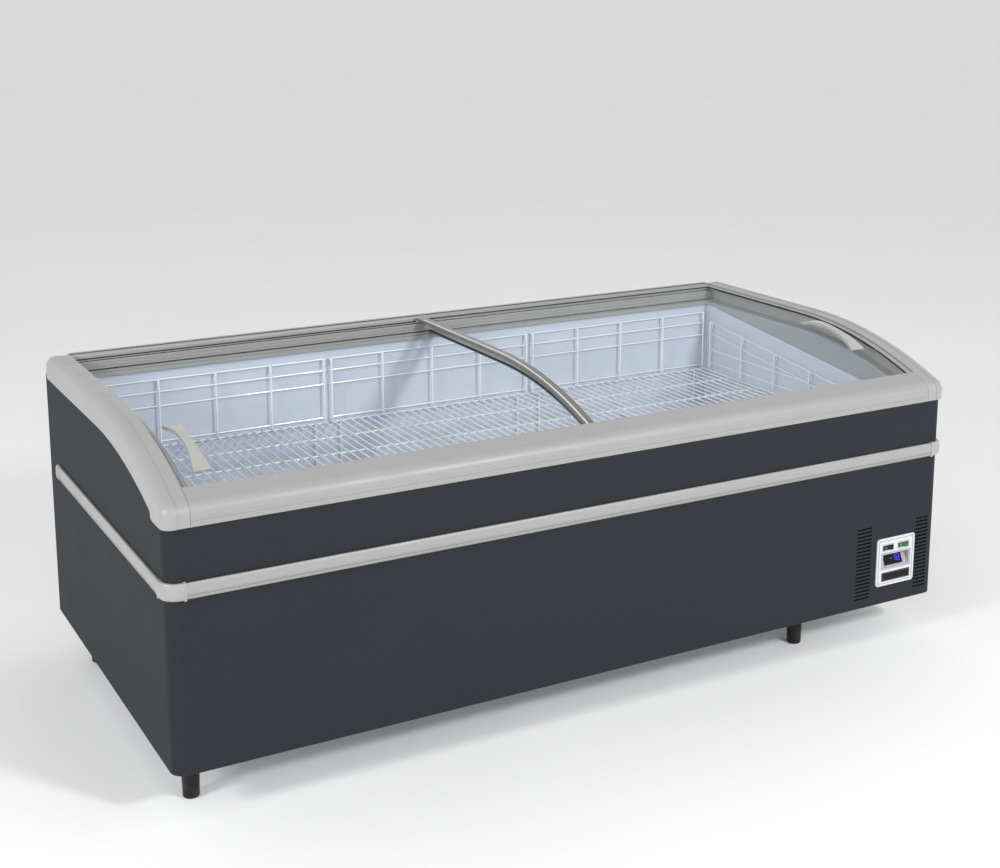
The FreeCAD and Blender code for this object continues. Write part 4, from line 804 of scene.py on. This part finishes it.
# near-black sheets behind the vent slots stand in for the shade inside the machine room
bm = bmesh.new()
for x0, x1 in ((0.762, 0.824), (0.962, 1.004)):
    slab(bm, (x0, SHADE_SHEET_Y[0], SHADE_SHEET_Z[0]), (x1, SHADE_SHEET_Y[1], SHADE_SHEET_Z[1]), 0.0003)
new_piece("vent_shade_sheets", bm, rubber("vent_painted_shade", (0.0015, 0.0015, 0.0015), 0.95), "cabinet")

# ---------------------------------------------------------------------------
# Back panel: screws round its edge and two pressed ribs
# ---------------------------------------------------------------------------
panel_low, panel_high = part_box("back_panel")
BACK_Y = panel_high[1]
SCREW_HEAD = ((0.0, -0.0004), (0.0046, -0.0004), (0.0044, 0.0006), (0.0030, 0.0013), (0.0012, 0.0014),
              (0.0010, 0.0008), (0.0, 0.0008))
SCREW_GAPS = 8
ROW_INSET = 0.030
LOW_INSET = 0.012
HIGH_INSET = 0.018
END_INSET = 0.012
END_SCREW_Z = (0.29, 0.47, 0.63)

run = panel_high[0] - panel_low[0] - 2.0 * ROW_INSET
row_xs = [panel_low[0] + ROW_INSET + run * i / SCREW_GAPS for i in range(SCREW_GAPS + 1)]
spots = [(x, z) for x in row_xs for z in (panel_low[2] + LOW_INSET, panel_high[2] - HIGH_INSET)]
spots += [(x, z) for x in (panel_low[0] + END_INSET, panel_high[0] - END_INSET) for z in END_SCREW_Z]
bm = bmesh.new()
for x, z in spots:
    lathe(bm, SCREW_HEAD, Vector((x, BACK_Y, z)), 18)
new_piece("back_panel_screws", bm, MATS["screw_steel"], "cabinet")

RIB_INSET = 0.060
RIB_RAMP = 0.006
RIB_SUNK = 0.0014
RIB_PROUD_SUNK = 0.0004
bm = bmesh.new()
for z in (0.415, 0.600):
    left, right = panel_low[0] + RIB_INSET, panel_high[0] - RIB_INSET
    tube(bm, [(left, BACK_Y - RIB_SUNK, z), (left + RIB_RAMP, BACK_Y - RIB_PROUD_SUNK, z),
              (right - RIB_RAMP, BACK_Y - RIB_PROUD_SUNK, z), (right, BACK_Y - RIB_SUNK, z)], 0.0030, 16)
new_piece("back_panel_ribs", bm, MATS["galvanised"], "cabinet")

# ---------------------------------------------------------------------------
# Camera, light and floor
# ---------------------------------------------------------------------------
IMAGE_WIDTH_PX = 1000.0
SENSOR_MM = 36.0
CAM_AT = (-1.8498, -3.3756, 1.7091)
CAM_YAW = 28.81
CAM_PITCH = -11.38
CAM_FOCAL_PX = 1546.8
CAM_SHIFT = (-0.0058, -0.14)
CAM_REACH = 500.0               # past the floor's far edge
FLOOR_HALF = 200.0
FLOOR_Z = -0.0005

cam_data = bpy.data.cameras.new("camera")
cam = bpy.data.objects.new("camera", cam_data)
SCENE.collection.objects.link(cam)
cam_data.sensor_width = SENSOR_MM
cam_data.lens = CAM_FOCAL_PX * SENSOR_MM / IMAGE_WIDTH_PX
cam_data.shift_x, cam_data.shift_y = CAM_SHIFT
cam_data.clip_end = CAM_REACH
cam.location = CAM_AT
cam.rotation_euler = (math.radians(90.0 + CAM_PITCH), 0.0, math.radians(-CAM_YAW))
SCENE.camera = cam

# sky that fades from the horizon up
SKY_FADE_UP = (0.15, 0.9)       # height of the direction where the fade starts and ends
SKY_STRENGTH = (1.15, 0.50)
world = bpy.data.worlds.new("studio")
SCENE.world = world
world.use_nodes = True
sky_tree = world.node_tree
sky = sky_tree.nodes["Background"]
direction = sky_tree.nodes.new("ShaderNodeTexCoord")
height = sky_tree.nodes.new("ShaderNodeSeparateXYZ")
fade = sky_tree.nodes.new("ShaderNodeMapRange")
for socket, number in zip(("From Min", "From Max", "To Min", "To Max"), SKY_FADE_UP + SKY_STRENGTH):
    fade.inputs[socket].default_value = number
sky_tree.links.new(direction.outputs["Generated"], height.inputs[0])
sky_tree.links.new(height.outputs["Z"], fade.inputs["Value"])
sky_tree.links.new(fade.outputs[0], sky.inputs["Strength"])
sky.inputs["Color"].default_value = (1.0, 1.0, 1.0, 1.0)
SCENE.view_settings.view_transform = "Standard"


def area_light(name, at, aim, size, power):
    """Square lamp that points at a place."""
    data = bpy.data.lights.new(name, "AREA")
    data.shape = "RECTANGLE"
    data.size = data.size_y = size
    data.energy = power
    obj = bpy.data.objects.new(name, data)
    SCENE.collection.objects.link(obj)
    obj.location = at
    obj.rotation_euler = (Vector(aim) - Vector(at)).to_track_quat("-Z", "Y").to_euler()


area_light("front", (1.6, -4.4, 3.1), (0.0, 0.4, 0.6), 0.6, 125.0)
area_light("left", (-4.4, -1.2, 2.3), (0.6, 0.1, 0.6), 0.8, 75.0)

floor_bm = bmesh.new()
bmesh.ops.create_grid(floor_bm, x_segments=20, y_segments=20, size=FLOOR_HALF)
floor_mesh = bpy.data.meshes.new("studio_floor")
floor_bm.to_mesh(floor_mesh)
floor_bm.free()
floor = bpy.data.objects.new("studio_floor", floor_mesh)
SCENE.collection.objects.link(floor)
floor.location.z = FLOOR_Z
floor_paint = Paint("studio_floor", 0.85)
floor_cloud = floor_paint.ramp(floor_paint.noise(1.5, 2.0), 0.3, 0.7)
floor_paint.colour(floor_paint.blend(floor_cloud, (0.94, 0.94, 0.94), (0.96, 0.96, 0.96)))
dress(floor, floor_paint.mat)
